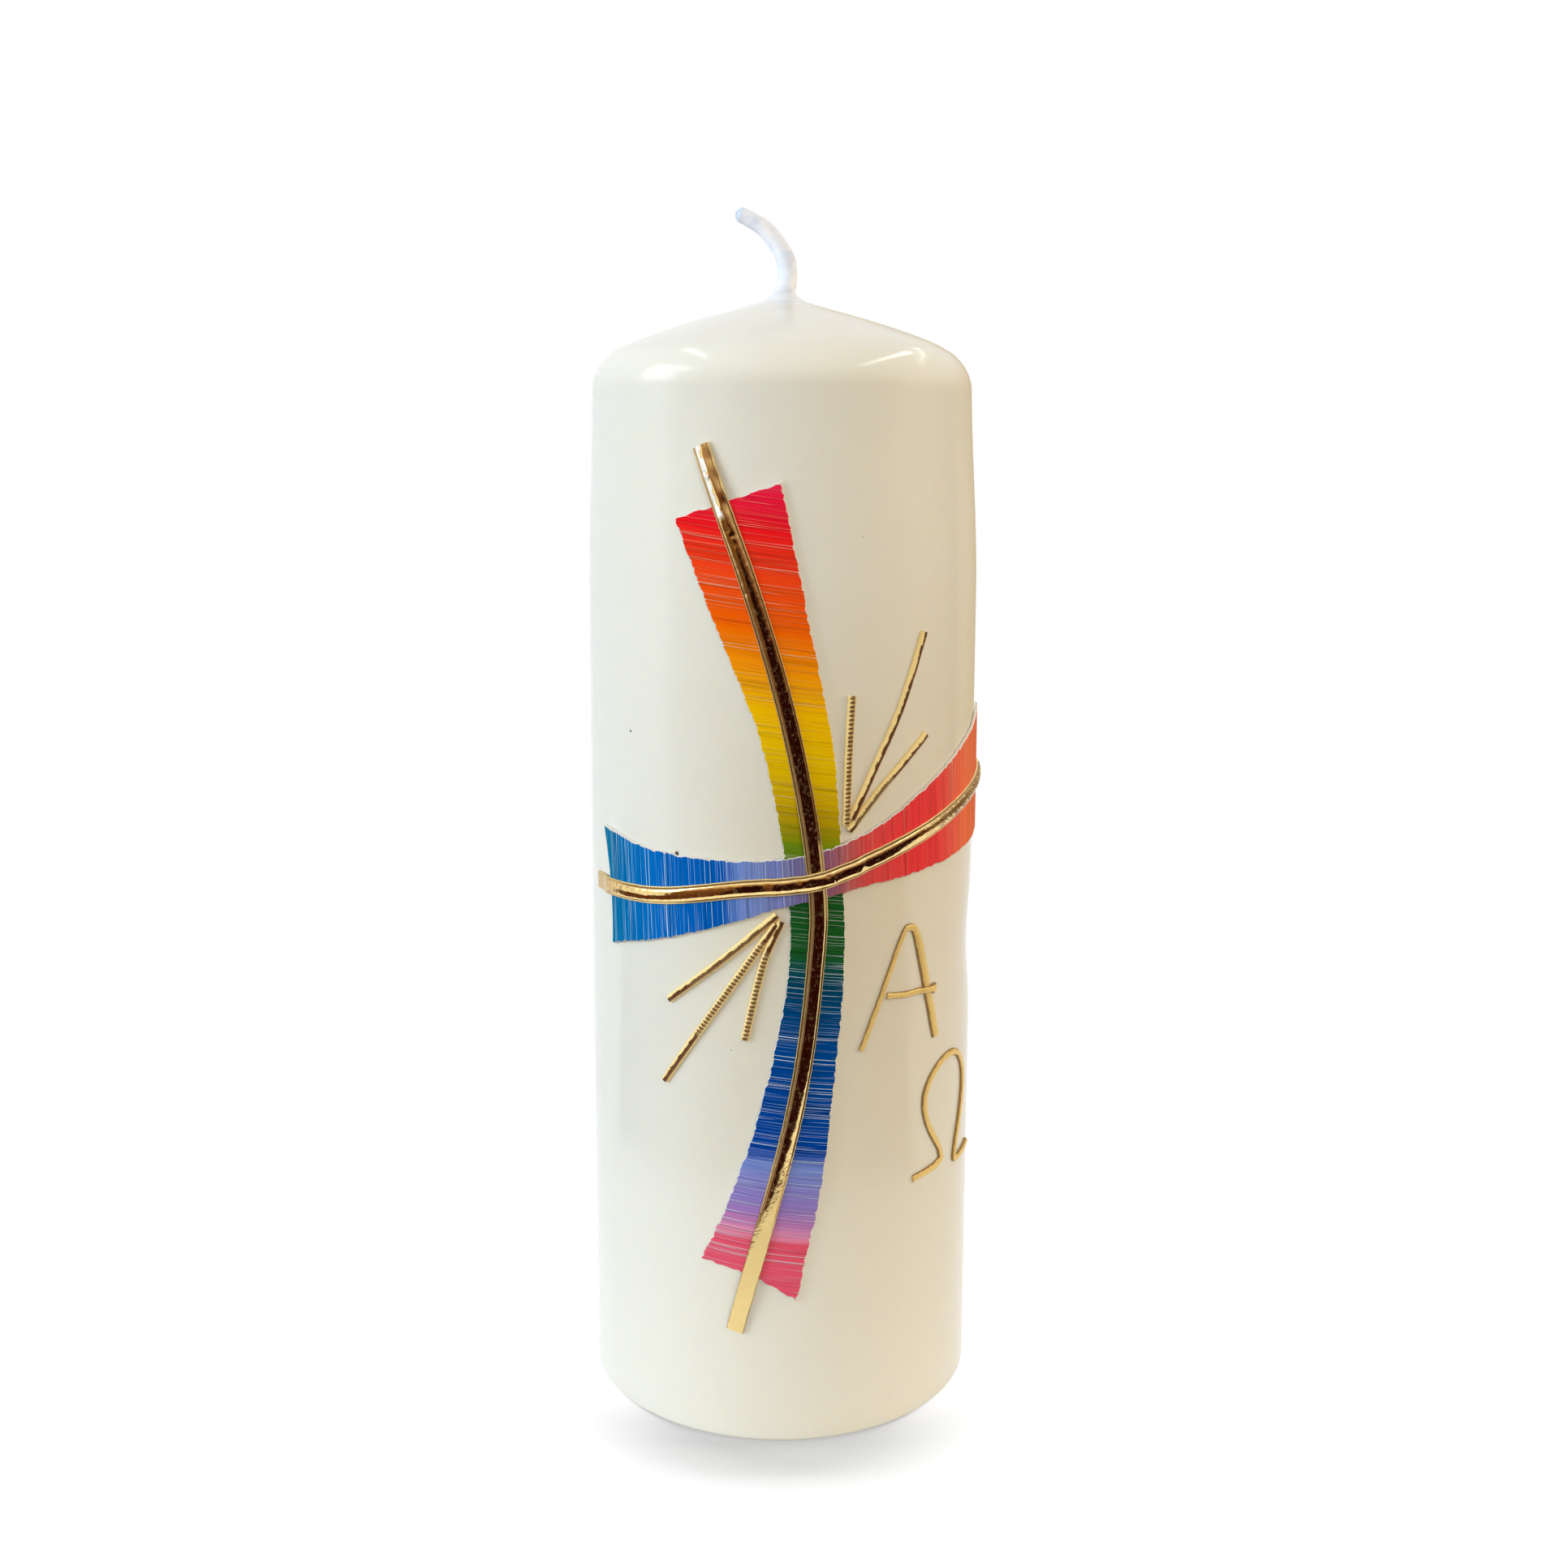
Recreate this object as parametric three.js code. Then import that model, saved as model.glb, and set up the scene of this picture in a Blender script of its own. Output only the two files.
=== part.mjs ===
// Pillar candle decorated with a rainbow cross of wax sheet and gold wax strips.
// Millimetres, +Z up. The origin is the centre of the flat base, on the candle's axis.
// -Y is the front, where the two gold strips cross.
import * as THREE from 'three';
import { mergeVertices } from 'three/addons/utils/BufferGeometryUtils.js';

// Candle body
const candleDiameter = 70;
const shoulderHeight = 186.8;
const coneSlopeDegrees = 18.2;
const shoulderRounding = 12;
const leastRounding = 0.5;
const baseEdgeRounding = 0.8;
const coatThickness = 1.4;
const seamGap = 0.25;
const bodySides = 64;
const coreSides = 48;
const shoulderSteps = 7;
const edgeSteps = 3;

// Wick, and the collar of wax that creeps up it
const wickDiameter = 3.6;
const wickClearance = 0.25;
const wickSides = 10;
const wickBendAzimuthDegrees = 170;
const wickTipRounding = 1.6;
const wickTipFlat = 0.4;
const collarHeight = 1.1;
const collarSpread = 1.8;
const collarSteps = 4;
// Free end of the wick above the collar: sideways towards the bend, and up
const freeWickRoute = [[0, 0], [-0.5, 1.5], [-0.6, 3.7], [0.1, 6.6], [1.8, 9.2], [4.4, 11.7], [8.5, 13.8]];
const freeWickSteps = 12;

// Tinplate wick holder, let into the base
const tabDiameter = 15;
const tabThickness = 0.4;
const tabRecess = 0.2;
const tabNeckHeight = 4;
const tabNeckWall = 0.4;
const tabNeckClearance = 0.12;
const tabPocketClearance = 0.3;
const tabSides = 32;

// Wax sheet bands of the cross
const sheetThickness = 0.5;
const seatGap = 0.1;
const drapeSlope = 0.4;
const bowSharpness = 8;
const uprightRows = 30;
const uprightColumns = 8;
const crossbarRows = 42;
const crossbarColumns = 5;

// Places on the candle are pairs: arc length round the wall to the right of the crossing of
// the gold strips, and height above it. The crossing lies this far below the shoulder.
const crossingBelowShoulder = 87.4;
const uprightLeftEdge = [
  [-24.9, 60.4], [-16.9, 41.8], [-10.2, 25], [-6.1, 5.7], [-5.1, -13.1], [-8.5, -33.5], [-14.1, -52.5], [-20.3, -66.9],
];
const uprightRightEdge = [
  [-6.1, 66.7], [-1.4, 43.1], [2.4, 23.6], [4.2, 3], [4.7, -13.8], [3.1, -34.9], [0.9, -53.5], [-3.2, -73.6],
];
const uprightFootBow = 1.5;
const crossbarLowerEdge = [
  [-40.9, -14.5], [-29.9, -11.8], [-17.9, -8.1], [-5, -3.7], [8, -1.1], [21, 0.4], [35.1, 2.1], [50, 4.2],
];
const crossbarUpperEdge = [
  [-43.9, 6.6], [-30.9, 4.8], [-18, 4.1], [-5, 4.9], [7.9, 8.4], [20.8, 15.2], [33.6, 21.6], [46.6, 26.5],
];
const crossbarEndBow = 1.2;

// Gold strips along the cross: a half-round crown between two thin rims. What lies below a
// strip is looked up at these shares of its width, a little past both of its edges.
const footprintShares = [-0.6, -0.3, 0, 0.3, 0.6];
const stripWidth = 3;
const stripHeight = 0.8;
const stripRimWidth = 0.35;
const rimHeight = 0.22;
const stripStep = 2.1;
const stripCrownSteps = 6;
const crossingPress = 0.3;
const crossingPressReach = 3;
const crossingSamples = 60;
const uprightStripRoute = [
  [-19.1, 72.4], [-11.5, 50.5], [-5, 27.3], [-0.9, 4.7], [-0.4, -12.1], [-4, -40.1], [-13.9, -79],
];
const crossbarStripRoute = [
  [-46.6, -4.5], [-29.4, -3.5], [-13.9, -0.9], [0, 1], [16.8, 6.2], [30.9, 10.5], [42.6, 13.2], [53.4, 14.9],
];

// Narrow gold strips of the rays
const rayWidth = 1.4;
const rayHeight = 0.75;
const rayStep = 2.2;
const narrowCrownSteps = 4;
const topRayRoutes = [
  [[5.5, 31.5], [5, 21.4], [4.6, 10.4]],
  [[19.8, 41.4], [14.8, 29], [9.8, 19.3], [6.3, 12.5]],
  [[20.5, 23.9], [11.5, 16], [5.6, 9.2]],
];
const bottomRayRoutes = [
  [[-7.6, -5.7], [-16.5, -13.6], [-26.1, -21.3]],
  [[-8.8, -9.2], [-17.1, -21.5], [-27.2, -35.9]],
  [[-6.3, -7.1], [-9.1, -13.5], [-12.2, -26.8]],
];

// Narrower gold strips of the two letters
const letterWidth = 1.15;
const letterHeight = 0.55;
const letterStep = 1.1;
const barClearance = 0.25;
const legSamples = 200;
const alphaArchRoute = [
  [7.8, -29.4], [11, -21.7], [15.6, -11], [17.5, -9.2], [19.3, -11.2], [21.9, -20.5], [24.6, -30],
];
const alphaBarRoute = [[12.7, -20.5], [16.9, -20.9], [20.9, -20.9], [24.2, -21.2]];
const omegaRoute = [
  [19, -54.8], [25.9, -53.9], [26.7, -52], [22.6, -45.4], [21.9, -40.4], [24.5, -36.6], [28.9, -34.8], [33.3, -35.8],
  [36.1, -39.8], [35.7, -45.1], [32.4, -53.7], [33.3, -55.5], [40.6, -55.2],
];

// Sizes worked out from those above
const candleRadius = candleDiameter / 2;
const coneSlope = THREE.MathUtils.degToRad(coneSlopeDegrees);
const wickRadius = wickDiameter / 2;
const wickHoleRadius = wickRadius + wickClearance;
const tabNeckRadius = wickRadius + tabNeckClearance + tabNeckWall;
const crossingHeight = shoulderHeight - crossingBelowShoulder;
const collarTop = coneHeight(wickHoleRadius, 0) + collarHeight;

// Height of the cone, drawn in by an inset square to its surface, at a radius
function coneHeight(radius, inset) {
  return shoulderHeight + (candleRadius - radius) * Math.tan(coneSlope) - inset / Math.cos(coneSlope);
}

// Point at a place on the wall: arc length, height and lift off the wax
function onWall(arc, height, lift) {
  const angle = arc / candleRadius;
  const radius = candleRadius + lift;
  return new THREE.Vector3(radius * Math.sin(angle), -radius * Math.cos(angle), height);
}

function curveThrough(points) {
  return new THREE.SplineCurve(points.map(([x, y]) => new THREE.Vector2(x, y)));
}

// Named mesh with its own material; shared vertices become one, so the surface is closed
function piece(name, geometry, color, roughness, metalness = 0) {
  geometry.deleteAttribute('normal');
  geometry.deleteAttribute('uv');
  const closed = mergeVertices(geometry, 1e-4);
  closed.computeVertexNormals();
  const mesh = new THREE.Mesh(closed, new THREE.MeshStandardMaterial({ color, roughness, metalness }));
  mesh.name = name;
  return mesh;
}

// Solid of revolution about Z from a closed outline of radius and height
function turned(outline, sides) {
  const points = outline.map(([radius, height]) => new THREE.Vector2(radius, height));
  points.push(points[0].clone());
  return new THREE.LatheGeometry(points, sides).rotateX(Math.PI / 2);
}

function indexedGeometry(points, triangles) {
  const geometry = new THREE.BufferGeometry().setFromPoints(points);
  geometry.setIndex(triangles);
  return geometry;
}

// Solid through rings of points that run anticlockwise about the direction of travel
function loft(rings) {
  const count = rings[0].length;
  const triangles = [];
  for (let ring = 0; ring < rings.length - 1; ring++) {
    for (let k = 0; k < count; k++) {
      const a = ring * count + k;
      const b = ring * count + (k + 1) % count;
      triangles.push(a, b, b + count, a, b + count, a + count);
    }
  }
  const last = (rings.length - 1) * count;
  for (let k = 1; k < count - 1; k++) {
    triangles.push(0, k + 1, k);
    triangles.push(last, last + k, last + k + 1);
  }
  return indexedGeometry(rings.flat(), triangles);
}

// Solid between an outer and an inner grid of points of equal size
function sheetBetween(outer, inner) {
  const columns = outer[0].length;
  const offset = outer.length * columns;
  const triangles = [];
  const quad = (a, b, c, d) => triangles.push(a, b, c, a, c, d);
  for (let row = 0; row < outer.length - 1; row++) {
    for (let column = 0; column < columns - 1; column++) {
      const a = row * columns + column;
      quad(a, a + columns, a + columns + 1, a + 1);
      quad(offset + a, offset + a + 1, offset + a + columns + 1, offset + a + columns);
    }
    const left = row * columns;
    const right = left + columns - 1;
    quad(left, offset + left, offset + left + columns, left + columns);
    quad(right, right + columns, offset + right + columns, offset + right);
  }
  const end = (outer.length - 1) * columns;
  for (let column = 0; column < columns - 1; column++) {
    quad(column, column + 1, offset + column + 1, offset + column);
    quad(end + column, offset + end + column, offset + end + column + 1, end + column + 1);
  }
  return indexedGeometry([...outer.flat(), ...inner.flat()], triangles);
}

// Wall, rounded shoulder and cone of the pillar, drawn in by an inset, from a height on the
// wall to a radius on the cone
function pillarOutline(inset, fromHeight, toRadius) {
  const radius = candleRadius - inset;
  const rounding = Math.max(shoulderRounding - inset, leastRounding);
  const tangent = rounding * Math.tan((Math.PI / 2 - coneSlope) / 2);
  const centreHeight = coneHeight(radius, inset) - tangent;
  const outline = [[radius, fromHeight]];
  for (let k = 0; k <= shoulderSteps; k++) {
    const angle = (Math.PI / 2 - coneSlope) * k / shoulderSteps;
    outline.push([radius - rounding + rounding * Math.cos(angle), centreHeight + rounding * Math.sin(angle)]);
  }
  outline.push([toRadius, coneHeight(toRadius, inset)]);
  return outline;
}

// Wax collar: the cone's line lifted towards the wick by a parabola
function collarOutline() {
  const outline = [];
  for (let k = 1; k <= collarSteps; k++) {
    const share = k / collarSteps;
    const radius = wickHoleRadius + collarSpread * (1 - share);
    outline.push([radius, coneHeight(radius, 0) + collarHeight * share * share]);
  }
  return outline;
}

// Ivory skin that the candle gets by dipping; open below, with a hole for the wick
function dippedCoat() {
  const outline = [[candleRadius - coatThickness, 0]];
  for (let k = 0; k < edgeSteps; k++) {
    const angle = Math.PI / 2 * k / edgeSteps;
    outline.push([
      candleRadius - baseEdgeRounding * (1 - Math.sin(angle)),
      baseEdgeRounding * (1 - Math.cos(angle)),
    ]);
  }
  outline.push(...pillarOutline(0, baseEdgeRounding, wickHoleRadius + collarSpread));
  outline.push(...collarOutline());
  const inside = pillarOutline(coatThickness, 0, wickHoleRadius).reverse();
  outline.push(...inside.slice(0, -1));
  return piece('dipped_coat', turned(outline, bodySides), 0xf0e6d2, 0.35);
}

// Body of pressed wax granules, bored for the wick, with a pocket for the wick holder
function pressedCore() {
  const inset = coatThickness + seamGap;
  const pocketRadius = tabDiameter / 2 + tabPocketClearance;
  const pocketDepth = tabRecess + tabThickness + tabPocketClearance;
  const neckPocketRadius = tabNeckRadius + tabPocketClearance;
  const neckPocketDepth = tabRecess + tabNeckHeight + tabPocketClearance;
  const outline = [
    [pocketRadius, 0],
    ...pillarOutline(inset, 0, wickHoleRadius),
    [wickHoleRadius, neckPocketDepth],
    [neckPocketRadius, neckPocketDepth],
    [neckPocketRadius, pocketDepth],
    [pocketRadius, pocketDepth],
  ];
  return piece('pressed_core', turned(outline, coreSides), 0xece4d0, 0.8);
}

// Tinplate disc with a neck that is crimped on the wick
function wickTab() {
  const hole = wickRadius + tabNeckClearance;
  const outline = [
    [hole, 0],
    [tabDiameter / 2, 0],
    [tabDiameter / 2, tabThickness],
    [tabNeckRadius, tabThickness],
    [tabNeckRadius, tabNeckHeight],
    [hole, tabNeckHeight],
  ];
  const tab = piece('wick_tab', turned(outline, tabSides), 0xb9bcc0, 0.35, 1);
  tab.position.z = tabRecess;
  return tab;
}

// Primed cotton wick: straight from the base to the collar, then a free bent end
function wick() {
  const azimuth = THREE.MathUtils.degToRad(wickBendAzimuthDegrees);
  const sideways = new THREE.Vector3(Math.cos(azimuth), Math.sin(azimuth), 0);
  const up = new THREE.Vector3(0, 0, 1);
  const across = new THREE.Vector3().crossVectors(sideways, up);
  const ringAt = (place, direction, radius) => {
    const centre = sideways.clone().multiplyScalar(place.x).addScaledVector(up, place.y);
    const inPlane = sideways.clone().multiplyScalar(direction.y).addScaledVector(up, -direction.x);
    const ring = [];
    for (let k = 0; k < wickSides; k++) {
      const angle = 2 * Math.PI * k / wickSides;
      ring.push(centre.clone()
        .addScaledVector(inPlane, -radius * Math.cos(angle))
        .addScaledVector(across, radius * Math.sin(angle)));
    }
    return ring;
  };
  const route = curveThrough(freeWickRoute.map(([side, rise]) => [side, collarTop + rise]));
  const length = route.getLength();
  const upright = new THREE.Vector2(0, 1);
  const rings = [ringAt(new THREE.Vector2(0, 0), upright, wickRadius)];
  for (let k = 0; k <= freeWickSteps; k++) {
    const share = k / freeWickSteps;
    const direction = k === 0 ? upright : route.getTangentAt(share);
    const fromTip = length * (1 - share);
    const tipShare = Math.min(1, (fromTip + wickTipFlat) / wickTipRounding);
    rings.push(ringAt(route.getPointAt(share), direction, wickRadius * Math.sqrt(tipShare)));
  }
  return piece('wick', loft(rings), 0xf2f3f6, 0.7);
}

// Places of a band: rows along it, columns across it from one edge to the other. The bow
// draws the middle of an end in: [first end, last end], towards rising arc or height.
function bandPlaces(firstEdge, secondEdge, rows, columns, bowEnds) {
  const first = curveThrough(firstEdge);
  const second = curveThrough(secondEdge);
  const places = [];
  for (let row = 0; row <= rows; row++) {
    const along = row / rows;
    const start = first.getPoint(along);
    const finish = second.getPoint(along);
    const line = [];
    for (let column = 0; column <= columns; column++) {
      const across = column / columns;
      const place = new THREE.Vector2().lerpVectors(start, finish, across);
      line.push(place.addScaledVector(bowEnds(along), 4 * across * (1 - across)));
    }
    places.push(line);
  }
  return places;
}

// Border of a band's grid of places, as a closed outline
function borderOf(places) {
  const firstRow = places[0];
  const lastRow = places[places.length - 1];
  return [
    ...places.map((line) => line[line.length - 1]),
    ...lastRow.slice().reverse(),
    ...places.map((line) => line[0]).reverse(),
    ...firstRow,
  ];
}

function isInside(border, place) {
  let inside = false;
  border.forEach((a, k) => {
    const b = border[(k + 1) % border.length];
    const crosses = (a.y > place.y) !== (b.y > place.y);
    if (crosses && place.x < a.x + (b.x - a.x) * (place.y - a.y) / (b.y - a.y)) {
      inside = !inside;
    }
  });
  return inside;
}

// Lift of something soft that lies on steps: it clears every step by its neighbours' height
// and comes down beside them at the drape slope
function drapeOver(heights, step) {
  return heights.map((_, here) => {
    const reaches = heights.map((height, there) => {
      const away = Math.max(0, Math.abs(here - there) - 1) * step;
      return height - away * drapeSlope;
    });
    return seatGap + Math.max(0, ...reaches);
  });
}

const uprightPlaces = bandPlaces(uprightLeftEdge, uprightRightEdge, uprightRows, uprightColumns,
  (along) => new THREE.Vector2(0, uprightFootBow * along ** bowSharpness));
const uprightBorder = borderOf(uprightPlaces);
const uprightTop = seatGap + sheetThickness;

const crossbarPlaces = bandPlaces(crossbarLowerEdge, crossbarUpperEdge, crossbarRows, crossbarColumns,
  (along) => new THREE.Vector2(crossbarEndBow * ((1 - along) ** bowSharpness - along ** bowSharpness), 0));
const crossbarBorder = borderOf(crossbarPlaces);
const crossbarLifts = crossbarBandLifts();

// The crossbar band rises where any place of its row lies on the upright band
function crossbarBandLifts() {
  const heights = crossbarPlaces.map((line) => (
    line.some((place) => isInside(uprightBorder, place)) ? uprightTop : 0
  ));
  const middle = Math.floor(crossbarColumns / 2);
  const step = crossbarPlaces[1][middle].distanceTo(crossbarPlaces[0][middle]);
  return drapeOver(heights, step);
}

// Top of the wax sheets above the candle's wall at a place
function sheetTopAt(place) {
  const onUpright = isInside(uprightBorder, place) ? uprightTop : 0;
  if (!isInside(crossbarBorder, place)) {
    return onUpright;
  }
  const middle = Math.floor(crossbarColumns / 2);
  let nearest = 0;
  crossbarPlaces.forEach((line, row) => {
    if (Math.abs(line[middle].x - place.x) < Math.abs(crossbarPlaces[nearest][middle].x - place.x)) {
      nearest = row;
    }
  });
  const around = crossbarLifts.slice(Math.max(0, nearest - 1), nearest + 2);
  return Math.max(onUpright, ...around) + sheetThickness;
}

function bandSolid(places, lifts) {
  const grid = (thickness) => places.map((line, row) => (
    line.map((place) => onWall(place.x, place.y, lifts[row] + thickness))
  ));
  return sheetBetween(grid(sheetThickness), grid(0));
}

// Red at the top through the rainbow to pink at the foot
function uprightBand() {
  const lifts = uprightPlaces.map(() => seatGap);
  return piece('upright_band', bandSolid(uprightPlaces, lifts), 0xe8a01c, 0.45);
}

// Teal at the left through violet to coral at the right
function crossbarBand() {
  return piece('crossbar_band', bandSolid(crossbarPlaces, crossbarLifts), 0x6a62b4, 0.45);
}

// Stations of a strip laid on the candle: place, direction across, and height below it
function stationsAlong(route, step, width, heightUnder) {
  const curve = curveThrough(route);
  const count = Math.max(2, Math.round(curve.getLength() / step));
  const stations = [];
  for (let k = 0; k <= count; k++) {
    const place = curve.getPointAt(k / count);
    const direction = curve.getTangentAt(k / count);
    const across = new THREE.Vector2(-direction.y, direction.x);
    const under = footprintShares.map((share) => (
      heightUnder(place.clone().addScaledVector(across, share * width))
    ));
    stations.push({ place, across, under: Math.max(...under) });
  }
  const lifts = drapeOver(stations.map((station) => station.under), curve.getLength() / count);
  stations.forEach((station, k) => {
    station.lift = lifts[k];
  });
  return stations;
}

// Cross-section of a strip: flat below, a half-round crown above, with rims if it has any
function stripSection(width, height, rimWidth, crownSteps) {
  const half = width / 2;
  const section = [[-half, 0], [half, 0]];
  if (rimWidth > 0) {
    section.push([half, rimHeight]);
  }
  for (let k = 0; k <= crownSteps; k++) {
    const angle = Math.PI * k / crownSteps;
    section.push([(half - rimWidth) * Math.cos(angle), rimHeight + (height - rimHeight) * Math.sin(angle)]);
  }
  if (rimWidth > 0) {
    section.push([-half, rimHeight]);
  }
  return section;
}

function stripSolid(stations, sectionAt) {
  return loft(stations.map((station) => (
    sectionAt(station).map(([side, height]) => {
      const place = station.place.clone().addScaledVector(station.across, side);
      return onWall(place.x, place.y, station.lift + height);
    })
  )));
}

// The upright strip's crown is pressed flatter where the crossbar strip lies over it
const crossbarStripCurve = curveThrough(crossbarStripRoute).getSpacedPoints(crossingSamples);

function uprightStripHeight(place) {
  const away = Math.min(...crossbarStripCurve.map((point) => point.distanceTo(place)));
  const share = Math.max(0, 1 - away / crossingPressReach);
  return stripHeight - crossingPress * share * share * (3 - 2 * share);
}

const uprightStations = stationsAlong(uprightStripRoute, stripStep, stripWidth, sheetTopAt);

// Top of the sheets and of the upright strip above the candle's wall at a place
function stripTopAt(place) {
  const near = uprightStations.filter((station) => station.place.distanceTo(place) < stripWidth / 2 + stripStep / 2);
  const tops = near.map((station) => station.lift + uprightStripHeight(station.place));
  return Math.max(sheetTopAt(place), ...tops);
}

function uprightStrip() {
  const solid = stripSolid(uprightStations, (station) => (
    stripSection(stripWidth, uprightStripHeight(station.place), stripRimWidth, stripCrownSteps)
  ));
  return piece('upright_strip', solid, 0xd9a850, 0.22, 1);
}

function crossbarStrip() {
  const stations = stationsAlong(crossbarStripRoute, stripStep, stripWidth, stripTopAt);
  const section = stripSection(stripWidth, stripHeight, stripRimWidth, stripCrownSteps);
  return piece('crossbar_strip', stripSolid(stations, () => section), 0xd9a850, 0.22, 1);
}

// Narrow gold strip along a route on the bare wax, or over what the last value tells of
function narrowStrip(name, route, width, height, step, heightUnder = () => 0) {
  const stations = stationsAlong(route, step, width, heightUnder);
  const section = stripSection(width, height, 0, narrowCrownSteps);
  return piece(name, stripSolid(stations, () => section), 0xd8b060, 0.3, 1);
}

function rays(prefix, routes) {
  return routes.map((route, k) => narrowStrip(`${prefix}_${k + 1}`, route, rayWidth, rayHeight, rayStep));
}

function alphaArch() {
  return narrowStrip('alpha_arch', alphaArchRoute, letterWidth, letterHeight, letterStep);
}

// The bar starts at the left leg and ends over the right one
function alphaBar() {
  const legs = curveThrough(alphaArchRoute).getSpacedPoints(legSamples);
  const legReach = letterWidth / 2 + barClearance;
  const heightUnder = (place) => {
    const overLeg = legs.some((point) => point.distanceTo(place) < legReach);
    return overLeg ? seatGap + letterHeight : 0;
  };
  return narrowStrip('alpha_bar', alphaBarRoute, letterWidth, letterHeight, letterStep, heightUnder);
}

function omegaStrip() {
  return narrowStrip('omega_strip', omegaRoute, letterWidth, letterHeight, letterStep);
}

const candle = new THREE.Group();
candle.add(pressedCore(), dippedCoat(), wickTab(), wick());

const decoration = new THREE.Group();
decoration.position.z = crossingHeight;
decoration.add(uprightBand(), crossbarBand(), uprightStrip(), crossbarStrip());
decoration.add(...rays('ray_top', topRayRoutes), ...rays('ray_bottom', bottomRayRoutes));
decoration.add(alphaArch(), alphaBar(), omegaStrip());
candle.add(decoration);

export default candle;
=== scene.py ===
import math

import bpy
import numpy as np
from mathutils import Matrix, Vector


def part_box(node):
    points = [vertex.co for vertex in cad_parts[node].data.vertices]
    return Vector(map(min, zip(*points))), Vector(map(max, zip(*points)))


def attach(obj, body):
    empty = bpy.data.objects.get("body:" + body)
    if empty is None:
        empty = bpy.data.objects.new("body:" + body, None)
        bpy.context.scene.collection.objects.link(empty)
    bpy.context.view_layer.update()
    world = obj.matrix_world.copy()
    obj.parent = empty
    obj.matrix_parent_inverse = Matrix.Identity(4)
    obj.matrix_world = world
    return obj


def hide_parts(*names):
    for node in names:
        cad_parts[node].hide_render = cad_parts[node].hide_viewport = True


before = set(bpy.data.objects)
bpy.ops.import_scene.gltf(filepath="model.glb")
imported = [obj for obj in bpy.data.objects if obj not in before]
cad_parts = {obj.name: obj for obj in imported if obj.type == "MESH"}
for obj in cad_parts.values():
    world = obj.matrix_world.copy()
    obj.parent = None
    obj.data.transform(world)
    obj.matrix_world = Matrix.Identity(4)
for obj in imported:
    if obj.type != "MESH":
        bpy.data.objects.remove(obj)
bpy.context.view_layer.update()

# Lengths are in millimetres and become metres where a mesh is made.
MM = 0.001
BODY = "root"

# Camera: place and lens of the photograph, its shift only what the framing needs
CAMERA_PLACE = (-54.57, -311.25, 169.5)
CAMERA_AZIMUTH = -9.943
CAMERA_DOWN = 8.094
CAMERA_ROLL = 0.203
CAMERA_LENS = 39.848
CAMERA_SHIFT = (0.001035, -0.0502)

# Candle body
CANDLE_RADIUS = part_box("dipped_coat")[1].x / MM
SHOULDER_HEIGHT = 186.8
CONE_SLOPE = math.radians(18.2)
SHOULDER_ROUNDING = 7.5
CONE_DOME = 0.5
BASE_ROUNDING = 0.8
COAT_THICKNESS = 1.4
COLLAR_HEIGHT = 1.1
COLLAR_SPREAD = 2.6
COLLAR_TOP = 198.73
WICK_HOLE_RADIUS = 1.84
WALL_LEAN = 1.2
WALL_HOLLOW = 0.8
CROSSING_HEIGHT = 99.4

# Wick: sideways towards its bend, and up from the collar
WICK_RADIUS = 1.8
WICK_TIP_LENGTH = 1.4
WICK_BEND_AZIMUTH = math.radians(170)
FREE_WICK_ROUTE = [
    (0, 0), (-0.5, 1.5), (-0.6, 3.7), (0.1, 6.6), (1.8, 9.2), (4.4, 11.7), (8.5, 13.8),
]

# Places on the wall: arc length to the right of the crossing, height above it
UPRIGHT_EDGES = [
    [(-24.9, 60.4), (-16.9, 41.8), (-10.2, 25), (-6.1, 5.7),
     (-5.1, -13.1), (-8.5, -33.5), (-14.1, -52.5), (-20.3, -66.9)],
    [(-6.1, 66.7), (-1.4, 43.1), (2.4, 23.6), (4.2, 3),
     (4.7, -13.8), (3.1, -34.9), (0.9, -53.5), (-3.2, -73.6)],
]
CROSSBAR_EDGES = [
    [(-40.9, -14.5), (-29.9, -11.8), (-17.9, -8.1), (-5, -3.7),
     (8, -1.1), (21, 0.4), (35.1, 2.1), (50, 4.2)],
    [(-43.9, 6.6), (-30.9, 4.8), (-18, 4.1), (-5, 4.9),
     (7.9, 8.4), (20.8, 15.2), (33.6, 21.6), (46.6, 26.5)],
]
UPRIGHT_FOOT_BOW = 1.5
CROSSBAR_END_BOW = 1.2
BOW_SHARPNESS = 8
BAND_WIDTH = 15  # about the mean
SHEET_THICKNESS = 0.5
SHEET_ROUNDING = 0.22
CUT_WIDTH = 0.42
TOOTH_DEPTH = 0.44
SEAT_GAP = 0.1

UPRIGHT_STRIP_ROUTE = [
    (-20.0, 72.2), (-11.7, 50.5), (-5, 27.3), (-0.9, 4.7), (-0.4, -12.1), (-4, -40.1), (-13.9, -79),
]
CROSSBAR_STRIP_ROUTE = [
    (-47.2, -4.3), (-29.4, -3.5), (-13.9, -0.9), (0, 1),
    (16.8, 6.2), (30.9, 10.5), (42.6, 13.2), (53.4, 14.9),
]
CROSSING_PLACE = [-0.6, 0.9]
STRIP_WIDTH = 3
STRIP_HEIGHT = 0.8
STRIP_BEAD = 0.3
# The upright strip as the crossbar strip finds it
PRESSED_RIM = 0.22
PRESSED_CROWN = 0.46
CROWN_HALF_WIDTH = 1.15

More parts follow.
